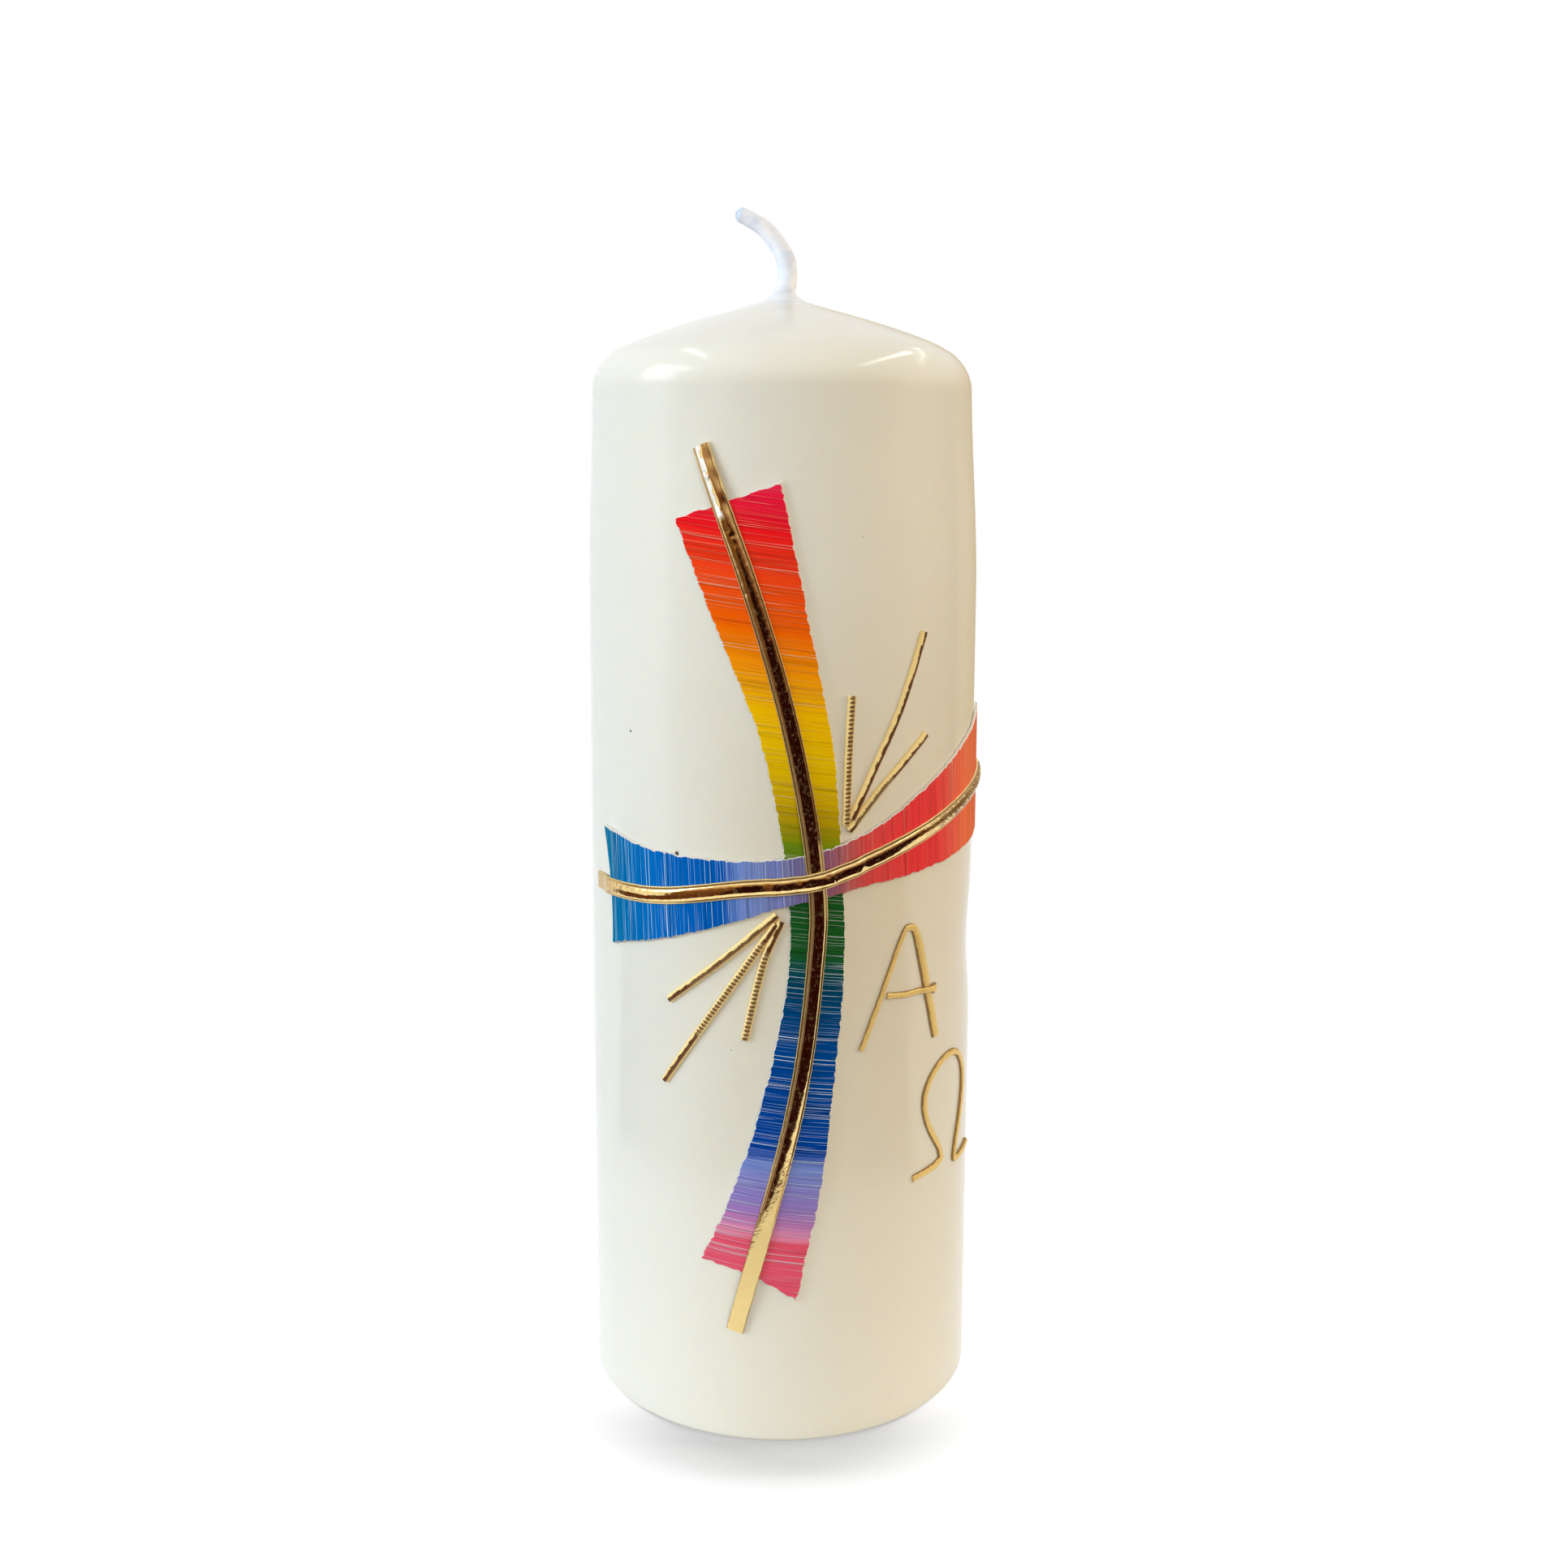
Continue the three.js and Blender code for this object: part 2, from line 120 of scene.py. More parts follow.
RAY_WIDTH = 1.4
RAY_HEIGHT = 0.75
RIB_PITCH = 0.72
RAY_ROUTES = {
    "ray_top_1": [(5.5, 31.5), (5, 21.4), (4.7, 9.9)],
    "ray_top_2": [(19.8, 41.4), (14.8, 29), (9.8, 19.3), (5.6, 10.8)],
    "ray_top_3": [(20.5, 23.9), (11.5, 16), (5.2, 8.9)],
    "ray_bottom_1": [(-6.9, -5.1), (-16.5, -13.6), (-26.1, -21.3)],
    "ray_bottom_2": [(-7.0, -6.6), (-17.1, -21.5), (-27.2, -35.9)],
    "ray_bottom_3": [(-6.1, -6.2), (-9.1, -13.5), (-12.2, -26.8)],
}
RAY_RIBS = {
    # share of the painted shade between the ribs, lengths between which the ribs show
    "ray_top_1": (0.9, 0, 22), "ray_top_2": (0.0, 0, 1), "ray_top_3": (0.4, 10, 20),
    "ray_bottom_1": (0.2, 2, 20), "ray_bottom_2": (0.9, 4, 24), "ray_bottom_3": (0.9, 6, 22),
}
LETTER_WIDTH = 1.15
LETTER_HEIGHT = 0.55
LETTER_ROUTES = {
    "alpha_arch": [
        (7.8, -29.4), (11, -21.7), (15.6, -11), (17.5, -9.2), (19.3, -11.2), (21.9, -20.5), (24.6, -30),
    ],
    "alpha_bar": [(12.7, -20.5), (16.9, -20.9), (20.9, -20.9), (24.2, -21.2)],
    "omega_strip": [
        (19, -54.8), (25.9, -53.9), (26.7, -52), (22.6, -45.4), (21.9, -40.4), (24.5, -36.6),
        (28.9, -34.8), (33.3, -35.8), (36.1, -39.8), (35.7, -45.1), (32.4, -53.7), (33.3, -55.5),
        (40.6, -55.2),
    ],
}


# ---- shapes -------------------------------------------------------------------------------

def smooth_step(low, high, values):
    """0 below low, 1 above high, and 3t^2 - 2t^3 of the share t in between."""
    share = np.clip((values - low) / (high - low), 0, 1)
    return share * share * (3 - 2 * share)


def pairs(first, second):
    """Rows of (first, second), either of which may be one number."""
    return np.stack(np.broadcast_arrays(first, second), axis=-1)


def unit(vectors):
    """Vectors divided by their own lengths."""
    return vectors / np.linalg.norm(vectors, axis=-1, keepdims=True)


def running_length(points):
    """Length from the first point to each, summed over the chords."""
    return np.concatenate([[0], np.cumsum(np.linalg.norm(np.diff(points, axis=0), axis=1))])


def at_lengths(points, lengths):
    """Places at lengths along a row of points, by straight interpolation."""
    known = running_length(points)
    return pairs(*(np.interp(lengths, known, points[:, k]) for k in (0, 1)))


def curve_at(points, shares):
    """Catmull-Rom curve through the points at shares of its spans.

    Each span from p1 to p2 is the cubic whose end slopes are (p2 - p0) / 2 and (p3 - p1) / 2,
    with the first and the last point repeated beyond the ends.
    """
    known = np.array(points, float)
    padded = np.vstack([known[:1], known, known[-1:]])
    position = np.clip(shares, 0, 1) * (len(known) - 1)
    span = np.minimum(position.astype(int), len(known) - 2)
    t = (position - span)[:, None]
    p0, p1, p2, p3 = (padded[span + k] for k in range(4))
    slope1, slope2 = (p2 - p0) / 2, (p3 - p1) / 2
    cubic = (2 * p1 - 2 * p2 + slope1 + slope2) * t ** 3
    square = (-3 * p1 + 3 * p2 - 2 * slope1 - slope2) * t ** 2
    return cubic + square + slope1 * t + p1


def stations_along(route, step):
    """Places at even steps of length along a route, the unit direction across it, and the length.

    The route is its curve at 2000 points, and across is the direction of travel turned a
    quarter anticlockwise.
    """
    dense = curve_at(route, np.linspace(0, 1, 2000))
    total = running_length(dense)[-1]
    along = np.linspace(0, total, max(2, round(total / step)) + 1)
    places = at_lengths(dense, along)
    travel = unit(np.gradient(places, along, axis=0))
    return places, pairs(-travel[:, 1], travel[:, 0]), along


def wall_slack(height, angle):
    """How far the hand-dipped wall stays inside the full radius: a lean by smooth_step towards the
    shoulder, 0.3 mm more on its right, and a shallow bell-shaped hollow low on the right side."""
    narrowing = smooth_step(146, 186, height) * (WALL_LEAN + 0.3 * np.sin(angle))
    return narrowing + WALL_HOLLOW * np.exp(-((height - 83) / 8) ** 2 - ((angle - 1.4) / 0.32) ** 2)


def on_wall(places, lift):
    """Points at places on the wall: the arc divided by the radius is the angle from the front."""
    angle = places[..., 0] / CANDLE_RADIUS
    height = places[..., 1] + CROSSING_HEIGHT
    radius = CANDLE_RADIUS - wall_slack(height, angle) + lift
    return np.stack([radius * np.sin(angle), -radius * np.cos(angle), height], axis=-1)


def ripple(values, seed, *waves):
    """Seeded waver of -1 to 1 along a length: sums of sines, (wavelength, share) each."""
    random = np.random.default_rng(seed)
    total = np.zeros_like(values, dtype=float)
    weight = 0.0
    for wavelength, share in waves:
        for stretch in (0.83, 1.0, 1.29):
            phase = random.uniform(0, 2 * np.pi)
            total += share * np.sin(2 * np.pi * values / (wavelength * stretch) + phase)
            weight += share
    return total / weight


def band_places(edges, along, across, bow):
    """Grid of places between two edge curves: a straight line from one to the other at each
    share along, drawn in by bow(along) times the parabola 4v(1 - v) of the share v across."""
    first, second = (curve_at(edge, along)[:, None] for edge in edges)
    share = across[None, :, None]
    return first + (second - first) * share + bow(along)[:, None] * 4 * share * (1 - share)


def upright_bow(along):
    """The foot's middle is drawn up."""
    return pairs(0.0, UPRIGHT_FOOT_BOW * along ** BOW_SHARPNESS)


def crossbar_bow(along):
    """Both ends' middles are drawn in."""
    return pairs(CROSSBAR_END_BOW * ((1 - along) ** BOW_SHARPNESS - along ** BOW_SHARPNESS), 0.0)


def border_of(edges, bow, columns):
    """Closed outline of a band, one side after the other."""
    places = band_places(edges, np.linspace(0, 1, 61), np.linspace(0, 1, columns), bow)
    return np.concatenate([places[:, -1], places[-1, ::-1], places[::-1, 0], places[0]])


def distance_outside(border, places):
    """Distance of places from a closed outline, below zero inside it.

    Inside is an odd number of sides crossed on the way to the left; the distance is the least
    over all sides, each clamped to its two ends.
    """
    start, finish = border, np.roll(border, -1, axis=0)
    side = finish - start
    keep = (side ** 2).sum(axis=1) > 1e-12
    start, finish, side = start[keep], finish[keep], side[keep]
    flat = places.reshape(-1, 2)
    offset = flat[:, None] - start
    share = np.clip((offset * side).sum(axis=2) / (side ** 2).sum(axis=1), 0, 1)
    nearest = np.linalg.norm(offset - share[..., None] * side, axis=2).min(axis=1)
    y = flat[:, 1:]
    spans = (start[:, 1] > y) != (finish[:, 1] > y)
    rise = np.where(side[:, 1] == 0, 1, side[:, 1])
    meets = start[:, 0] + side[:, 0] * (y - start[:, 1]) / rise
    inside = (spans & (flat[:, :1] < meets)).sum(axis=1) % 2 == 1
    return np.where(inside, -nearest, nearest).reshape(places.shape[:-1])


UPRIGHT_BORDER = border_of(UPRIGHT_EDGES, upright_bow, 9)
CROSSBAR_BORDER = border_of(CROSSBAR_EDGES, crossbar_bow, 7)


def upright_lift(places):
    """Underside of the upright band: the seat gap above the wall everywhere."""
    return np.full(places.shape[:-1], SEAT_GAP)


def crossbar_lift(places):
    """Underside of the crossbar band: it lies on the wall and rises over the upright band,
    falling off smoothly between 0.3 and 2 mm beside it."""
    beside = distance_outside(UPRIGHT_BORDER, places)
    return SEAT_GAP + (SHEET_THICKNESS + SEAT_GAP) * (1 - smooth_step(0.3, 2, beside))


def sheet_top(places):
    """Top of the wax sheets above the wall: that of the crossbar band where it lies, else that of
    the upright band, else 0."""
    on_upright = distance_outside(UPRIGHT_BORDER, places) < 0.1
    on_crossbar = distance_outside(CROSSBAR_BORDER, places) < 0.1
    upright_top = np.where(on_upright, SEAT_GAP + SHEET_THICKNESS, 0)
    return np.where(on_crossbar, crossbar_lift(places) + SHEET_THICKNESS, upright_top)


def draped(heights, step, reach, softness):
    """Lift of something soft over steps: the highest step within reach, smoothed by a bell
    curve narrower than the reach, so that it clears every step."""
    cells = max(1, round(reach / step))
    padded = np.pad(heights, cells, mode="edge")
    windows = np.lib.stride_tricks.sliding_window_view(padded, 2 * cells + 1)
    highest = np.pad(windows.max(axis=1), cells, mode="edge")
    offsets = np.arange(-cells, cells + 1) * step
    bell = np.exp(-0.5 * (offsets / softness) ** 2)
    return np.convolve(highest, bell / bell.sum(), mode="valid")


# ---- meshes -------------------------------------------------------------------------------

def grid_quads(rows, columns, offset=0, wrap_rows=False, wrap_columns=False):
    """Four-sided faces of a grid of points numbered row by row, closed round where it wraps."""
    row = np.arange(rows if wrap_rows else rows - 1)[:, None]
    column = np.arange(columns if wrap_columns else columns - 1)[None, :]
    next_row, next_column = (row + 1) % rows, (column + 1) % columns
    corners = (
        row * columns + column, next_row * columns + column,
        next_row * columns + next_column, row * columns + next_column,
    )
    return offset + np.stack([c.ravel() for c in np.broadcast_arrays(*corners)], axis=1)


def sheet_quads(rows, columns):
    """Faces of a closed sheet: an outer grid, an inner grid after it, and the four side walls."""
    count = rows * columns
    index = np.arange(count).reshape(rows, columns)
    faces = [grid_quads(rows, columns), grid_quads(rows, columns, count)[:, ::-1]]
    for line, turned in ((index[:, 0], False), (index[:, -1], True), (index[0], True), (index[-1], False)):
        wall = np.stack([line[:-1], line[:-1] + count, line[1:] + count, line[1:]], axis=1)
        faces.append(wall[:, ::-1] if turned else wall)
    return np.concatenate(faces)


def add_object(name, data):
    made = bpy.data.objects.new(name, data)
    bpy.context.scene.collection.objects.link(made)
    return made


def add_surface(name, mesh_name, points, faces, material, place=None, cut=None, sharp=50):
    """New object from arrays of equal-sided faces: smooth with sharp edges past an angle in
    degrees, the "place" map for patterns that follow the surface, and how near a cut edge is."""
    mesh = bpy.data.meshes.new(mesh_name)
    corners = np.concatenate([group.ravel() for group in faces]).astype(np.int32)
    sides = np.concatenate([np.full(len(group), group.shape[1]) for group in faces])
    mesh.vertices.add(len(points))
    mesh.vertices.foreach_set("co", (points * MM).astype(np.float32).ravel())
    mesh.loops.add(len(corners))
    mesh.loops.foreach_set("vertex_index", corners)
    mesh.polygons.add(len(sides))
    mesh.polygons.foreach_set("loop_start", (np.cumsum(sides) - sides).astype(np.int32))
    mesh.update(calc_edges=True)
    mesh.polygons.foreach_set("use_smooth", np.ones(len(sides), bool))
    if place is not None:
        layer = mesh.uv_layers.new(name="place")
        layer.data.foreach_set("uv", place[corners].astype(np.float32).ravel())
    if cut is not None:
        attribute = mesh.attributes.new("cut", "FLOAT", "POINT")
        attribute.data.foreach_set("value", cut.astype(np.float32))
    mesh.set_sharp_from_angle(angle=math.radians(sharp))
    mesh.validate()
    mesh.materials.append(material)
    return add_object(name, mesh)


def make_piece(node, points, faces, material, slot, **looks):
    """New piece in a CAD node's place."""
    piece = add_surface(f"{node}_detail", f"{node}_surface", points, faces, material, **looks)
    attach(piece, BODY)
    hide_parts(node)


def turned_piece(node, outline, sides, material, slot, sharp, slack=None):
    """Solid of revolution about Z from a closed outline of (radius, height) that runs
    anticlockwise round its material; slack(height, angle from the front) draws it in near the
    full radius, in proportion to the radius."""
    angle = 2 * np.pi * np.arange(sides) / sides
    radius, height = outline[:, :1], outline[:, 1:]
    if slack:
        from_front = np.arctan2(np.cos(angle), -np.sin(angle))
        radius = radius - slack(height, from_front) * smooth_step(25, 34, radius)
    points = np.stack(np.broadcast_arrays(radius * np.cos(angle), radius * np.sin(angle), height), axis=-1)
    quads = grid_quads(len(outline), sides, wrap_rows=True, wrap_columns=True)[:, ::-1]
    make_piece(node, points.reshape(-1, 3), [quads], material, slot, sharp=sharp)


# ---- shader nodes -------------------------------------------------------------------------

class Value:
    """Output of a shader node. Arithmetic on it adds Math nodes to the same tree."""

    def __init__(self, socket):
        self.socket = socket
        self.tree = socket.id_data

    def __add__(self, other):
        return calc("ADD", self, other)

    def __sub__(self, other):
        return calc("SUBTRACT", self, other)

    def __rsub__(self, other):
        return calc("SUBTRACT", other, self)

    def __mul__(self, other):
        return calc("MULTIPLY", self, other)

    def __abs__(self):
        return calc("ABSOLUTE", self)


def put(tree, kind, inputs=None, **settings):
    """New node with its settings, and its inputs either linked or set."""
    node = tree.nodes.new(kind)
    for name, setting in settings.items():
        setattr(node, name, setting)
    for name, value in (inputs or {}).items():
        if isinstance(value, Value):
            tree.links.new(value.socket, node.inputs[name])
        else:
            node.inputs[name].default_value = value
    return node


def out(tree, kind, inputs=None, output=0, **settings):
    """One output of a new node."""
    return Value(put(tree, kind, inputs, **settings).outputs[output])


def tree_of(*values):
    return next(value.tree for value in values if isinstance(value, Value))


def calc(operation, *values):
    """Result of a Math node."""
    return out(tree_of(*values), "ShaderNodeMath", dict(enumerate(values)), operation=operation)


def greatest(first, *others):
    for other in others:
        first = calc("MAXIMUM", first, other)
    return first


def blend(share, first, second, blend_type="MIX"):
    """First colour towards the second by a share."""
    return out(tree_of(share, first, second), "ShaderNodeMix", {0: share, 6: first, 7: second}, 2,
               data_type="RGBA", blend_type=blend_type)


def span_of(value, low, high, to_low=0.0, to_high=1.0):
    """Value carried from one span to another, held at the ends."""
    inputs = {"Value": value, "From Min": low, "From Max": high, "To Min": to_low, "To Max": to_high}
    return out(value.tree, "ShaderNodeMapRange", inputs, clamp=True)


def beyond(value, limit, softness):
    """1 where the value is past a limit, 0 before it; a negative softness turns it round."""
    return span_of(value, limit - softness, limit + softness)


def stripe(value, place, half_width):
    """1 along a line at a value, fading out at its half width."""
    return beyond(abs(value - place), half_width, -0.04)


def noise(vector, scale, detail, roughness):
    inputs = {"Vector": vector, "Scale": scale, "Detail": detail, "Roughness": roughness}
    return out(vector.tree, "ShaderNodeTexNoise", inputs, "Fac")


def combined(x, y, z=0.0):
    return out(tree_of(x, y), "ShaderNodeCombineXYZ", {0: x, 1: y, 2: z})


def separated(vector):
    return [Value(axis) for axis in put(vector.tree, "ShaderNodeSeparateXYZ", {0: vector}).outputs]


def object_position(tree):
    return out(tree, "ShaderNodeTexCoord", output="Object")


def surface_place(tree):
    """The two coordinates of a piece's own "place" map, in millimetres."""
    return separated(out(tree, "ShaderNodeUVMap", uv_map="place"))[:2]


def bump(height, strength, distance):
    """Normal from a height; the distance is in millimetres."""
    inputs = {"Height": height, "Strength": strength, "Distance": distance * MM}
    return out(height.tree, "ShaderNodeBump", inputs)


def srgb(red, green, blue):
    """Colour as seen on a screen, 0 to 255, as the light values that shaders take."""
    share = np.array([red, green, blue]) / 255
    linear = np.where(share <= 0.04045, share / 12.92, ((share + 0.055) / 1.055) ** 2.4)
    return (*linear, 1.0)


def ramp(value, stops):
    """Colour ramp with stops of (position, colour)."""
    node = put(value.tree, "ShaderNodeValToRGB", {0: value})
    elements = node.color_ramp.elements
    while len(elements) < len(stops):
        elements.new(0.5)
    for element, (position, colour) in zip(elements, stops):
        element.position = position
        element.color = colour
    return Value(node.outputs[0])


def make_group(name, inputs, outputs, build):
    """Node group: inputs by name with their defaults, None for a vector; build takes them as
    values and gives a number for each output."""
    tree = bpy.data.node_groups.new(name, "ShaderNodeTree")
    for label, default in inputs.items():
        kind = "NodeSocketVector" if default is None else "NodeSocketFloat"
        socket = tree.interface.new_socket(label, in_out="INPUT", socket_type=kind)
        if default is not None:
            socket.default_value = default
    for label in outputs:
        tree.interface.new_socket(label, in_out="OUTPUT", socket_type="NodeSocketFloat")
    given = tree.nodes.new("NodeGroupInput").outputs
    results = build(*(Value(given[label]) for label in inputs))
    put(tree, "NodeGroupOutput", dict(zip(outputs, results)))
    return tree


def use_group(group, inputs):
    """Outputs of a node group by name."""
    node = put(tree_of(*inputs.values()), "ShaderNodeGroup", inputs, node_tree=group)
    return {output.name: Value(output) for output in node.outputs}


def emptied_tree(owner):
    """Node tree of a material or a world, without nodes."""
    owner.use_nodes = True
    owner.node_tree.nodes.clear()
    return owner.node_tree


def new_material(name, look):
    """Material whose look(tree) gives a shader, or the inputs of one Principled shader."""
    material = bpy.data.materials.new(name)
    tree = emptied_tree(material)
    shader = look(tree)
    if isinstance(shader, dict):
        shader = out(tree, "ShaderNodeBsdfPrincipled", shader)
    put(tree, "ShaderNodeOutputMaterial", {0: shader})
    return material


# ---- shared effects -----------------------------------------------------------------------

def wax_mottle(position, patch_size, depth):
    """Cloudy wax: broad patches and a fine grain, as a shade about 1, a height and a gloss."""
    patches = noise(position, calc("DIVIDE", 1.0 / MM, patch_size), 3.0, 0.55)
    grain = noise(position, 2600.0, 2.0, 0.6)
    waves = noise(position, 70.0, 1.0, 0.4)
    deviation = patches - 0.5
    shade = ((grain - 0.5) * 0.35 + deviation) * depth + 1.0
    return shade, waves * 6.0 + (grain * 0.12 + patches), deviation * 0.12


PALE_LINE_LEVEL = 0.617  # noise above it is a pale brush line


def brushed_paint(along, over):
    """Brush lines on painted wax, fine lines that run along the streaks, partly painted light.

    Noise is read at a place stretched about 150 to 1 along the streaks, so that a line is 0.2 mm
    wide and crosses most of the band. The highest lines are pale, partly paint and partly painted
    highlights on raised lines; each has a dark line beside it, which is painted shade of the raised
    line, the same noise read 0.16 mm farther over.
    """
    def lines(along_scale, over_scale, seed, detail, shift=0.0):
        return noise(combined(along * along_scale, (over + shift) * over_scale, seed), 1.0, detail, 0.65)

    def pale_lines(shift):
        fine = span_of(lines(0.02, 3.2, 3.1, 2.0, shift), PALE_LINE_LEVEL, PALE_LINE_LEVEL + 0.018)
        hair = span_of(lines(0.03, 5.6, 17.9, 1.0, shift), PALE_LINE_LEVEL + 0.01, PALE_LINE_LEVEL + 0.035)
        return greatest(fine, hair * 0.75) * clusters

    clusters = span_of(lines(0.02, 0.55, 11.7, 2.0), 0.38, 0.56, 0.25, 1.0)
    # Pale lines: paint streaks and painted highlights on raised lines.
    pale = pale_lines(0.0)
    shade = lines(0.03, 1.9, 41.3, 3.0)
    # Dark lines: painted shade beside each pale line, and darker paint streaks.
    dark = greatest(pale_lines(0.16) * 0.9, span_of(shade, 0.47, 0.3))
    return pale, dark, pale * 0.8 + shade


def foil_wrinkle(position, crinkle):
    """Thin gold foil on wax: fine crinkles, dents and worn specks, as height, dents and specks."""
    soft = noise(position, 320.0, 2.0, 0.5)
    fine = noise(position, 1500.0, 3.0, 0.65)
    dents = noise(position, 900.0, 1.0, 0.5)
    return fine * crinkle + soft * 2.0, span_of(dents, 0.42, 0.62), span_of(fine, 0.56, 0.64)


WAX_MOTTLE = make_group(
    "wax mottle", {"Position": None, "Patch size": 11.0, "Depth": 0.035},
    ("Shade", "Height", "Gloss"), wax_mottle)
BRUSHED_PAINT = make_group(
    "brushed paint", {"Along": 0.0, "Over": 0.0}, ("Pale", "Dark", "Height"), brushed_paint)
FOIL_WRINKLE = make_group(
    "foil wrinkle", {"Position": None, "Crinkle": 0.5}, ("Height", "Dents", "Specks"), foil_wrinkle)


# ---- wax, wick and tin --------------------------------------------------------------------

COAT_SPECKS = [
    # arc, height above the crossing, radius
    (-35.2, 24.0, 0.30), (-24.6, 4.2, 0.5), (24.4, 20.6, 0.12), (-14.6, -28.9, 0.12), (7.4, 57.6, 0.1),
]


def dipped_wax(tree):
    """Ivory dipped wax, cloudy, softly glossy, light entering it: whiter towards the wick, darker and
    more yellow about the middle of the front and right side as painted shade, and with five dark
    specks."""
    position = object_position(tree)
    mottle = use_group(WAX_MOTTLE, {"Position": position})
    x, y, z = separated(position)
    from_axis = out(tree, "ShaderNodeVectorMath", {0: combined(x, y)}, "Value", operation="LENGTH")
    near_wick = span_of(from_axis, 9 * MM, 2 * MM) * span_of(z, 190 * MM, 196 * MM)
    # Darker and more yellow low on the front and right side: painted shade.
    middle = (span_of(z, -20 * MM, 100 * MM) * span_of(z, 150 * MM, 100 * MM)
              * span_of(x, -24 * MM, 2 * MM))
    ivory = blend(near_wick, srgb(239, 234, 221), srgb(240, 241, 243))
    ivory = blend(middle, ivory, srgb(232, 221, 199))
    shaded = blend(1.0, ivory, mottle["Shade"], "MULTIPLY")
    for arc, height, radius in COAT_SPECKS:
        point = tuple(on_wall(np.array([arc, height]), 0.0) * MM)
        away = out(tree, "ShaderNodeVectorMath", {0: position, 1: point}, "Value", operation="DISTANCE")
        shaded = blend(span_of(away, radius * MM, radius * 0.5 * MM), shaded, srgb(70, 66, 60))
    return {
        "Base Color": shaded, "Roughness": mottle["Gloss"] + 0.15, "Subsurface Weight": 0.35,
        "Subsurface Radius": (1.0, 0.7, 0.45), "Subsurface Scale": 2.5 * MM,
        "Normal": bump(mottle["Height"], 0.25, 0.12),
    }


def pressed_wax(tree):
    """Pressed wax granules: pale grains of about 2 mm with darker joints."""
    grains = {"Vector": object_position(tree), "Scale": 520.0}
    edges = out(tree, "ShaderNodeTexVoronoi", grains, "Distance", feature="DISTANCE_TO_EDGE")
    joint = span_of(edges, 0.02, 0.16)
    tint = out(tree, "ShaderNodeRGBToBW", {0: out(tree, "ShaderNodeTexVoronoi", grains, "Color")})
    pale = blend(tint, srgb(236, 229, 211), srgb(244, 239, 226))
    return {
        "Base Color": blend(joint, srgb(214, 203, 178), pale), "Roughness": span_of(joint, 0, 1, 0.75, 0.5),
        "Normal": bump(joint, 0.5, 0.3),
    }


def primed_cotton(tree):
    """Waxed cotton wick: bluish white, mottled, greyer at the cut tip as painted shade, with faint fibres."""
    position = object_position(tree)
    blotches = noise(position, 420.0, 3.0, 0.6)
    fibres = noise(position, 2200.0, 2.0, 0.6)
    _, along = surface_place(tree)
    body = blend(span_of(blotches, 0.35, 0.65), srgb(222, 229, 246), srgb(246, 248, 253))
    # Greyer at the cut tip: painted shade.
    tip = span_of(blotches * 1.6 + along, 17.6, 19.0)
    return {
        "Base Color": blend(tip, body, srgb(178, 204, 226)),
        "Roughness": span_of(blotches, 0.3, 0.7, 0.42, 0.62), "Subsurface Weight": 0.2,
        "Subsurface Radius": (0.8, 0.8, 0.9), "Subsurface Scale": 1.0 * MM,
        "Normal": bump(blotches + fibres * 0.08, 0.14, 0.16),
    }


def tinplate(tree):
    """Rolled tinplate: fine turned rings and dull spots in a grey metal."""
    position = object_position(tree)
    spots = noise(position, 500.0, 3.0, 0.6)
    rings = out(tree, "ShaderNodeTexWave", {"Vector": position, "Scale": 900.0, "Distortion": 1.5}, "Fac",
                wave_type="RINGS", rings_direction="Z")
    return {
        "Base Color": blend(spots, srgb(176, 178, 182), srgb(206, 207, 209)), "Metallic": 1.0,
        "Roughness": span_of(spots, 0.3, 0.7, 0.28, 0.45), "Normal": bump(rings, 0.15, 0.05),
    }


def arc_about(radius, height, rounding, turn):
    """Points of a circle about (radius, height) at angles from its outward side upwards."""
    return pairs(radius + rounding * np.cos(turn), height + rounding * np.sin(turn))


def coat_outline():
    """Closed outline of the dipped skin: base edge as a quarter circle, wall, shoulder as an arc
    tangent to wall and cone, cone domed by a squared sine, collar as a parabola-like power up to
    the wick, then back inside."""
    def cone_height(radius):
        dome = CONE_DOME * np.sin(np.pi * np.clip((radius - 3) / (CANDLE_RADIUS - 3), 0, 1)) ** 2
        return SHOULDER_HEIGHT + (CANDLE_RADIUS - radius) * math.tan(CONE_SLOPE) + dome

    base = arc_about(
        CANDLE_RADIUS - BASE_ROUNDING, BASE_ROUNDING, BASE_ROUNDING, np.linspace(-np.pi / 2, 0, 7))
    centre_radius = CANDLE_RADIUS - SHOULDER_ROUNDING
    centre_height = SHOULDER_HEIGHT - SHOULDER_ROUNDING * math.tan((math.pi / 2 - CONE_SLOPE) / 2)
    wall = pairs(CANDLE_RADIUS, np.linspace(BASE_ROUNDING, centre_height, 110)[1:-1])
    turn = np.linspace(0, math.pi / 2 - CONE_SLOPE, 30)
    shoulder = arc_about(centre_radius, centre_height, SHOULDER_ROUNDING, turn)
    cone_start = shoulder[-1, 0]
    collar_start = WICK_HOLE_RADIUS + COLLAR_SPREAD
    cone_radii = np.linspace(cone_start, collar_start, 26)[1:]
    share = np.linspace(0, 1, 13)[1:]
    collar_radii = collar_start - COLLAR_SPREAD * share
    inner_drop = COAT_THICKNESS / math.cos(CONE_SLOPE)
    inside_radii = np.array([WICK_HOLE_RADIUS, cone_start - 0.4])
    return np.concatenate([
        base, wall, shoulder, pairs(cone_radii, cone_height(cone_radii)),
        pairs(collar_radii, cone_height(collar_radii) + COLLAR_HEIGHT * share ** 2.6),
        pairs(inside_radii, cone_height(inside_radii) - inner_drop),
        arc_about(centre_radius, centre_height, SHOULDER_ROUNDING - COAT_THICKNESS, turn[::-3]),
        pairs(CANDLE_RADIUS - COAT_THICKNESS, np.array([centre_height / 2, 0]))])


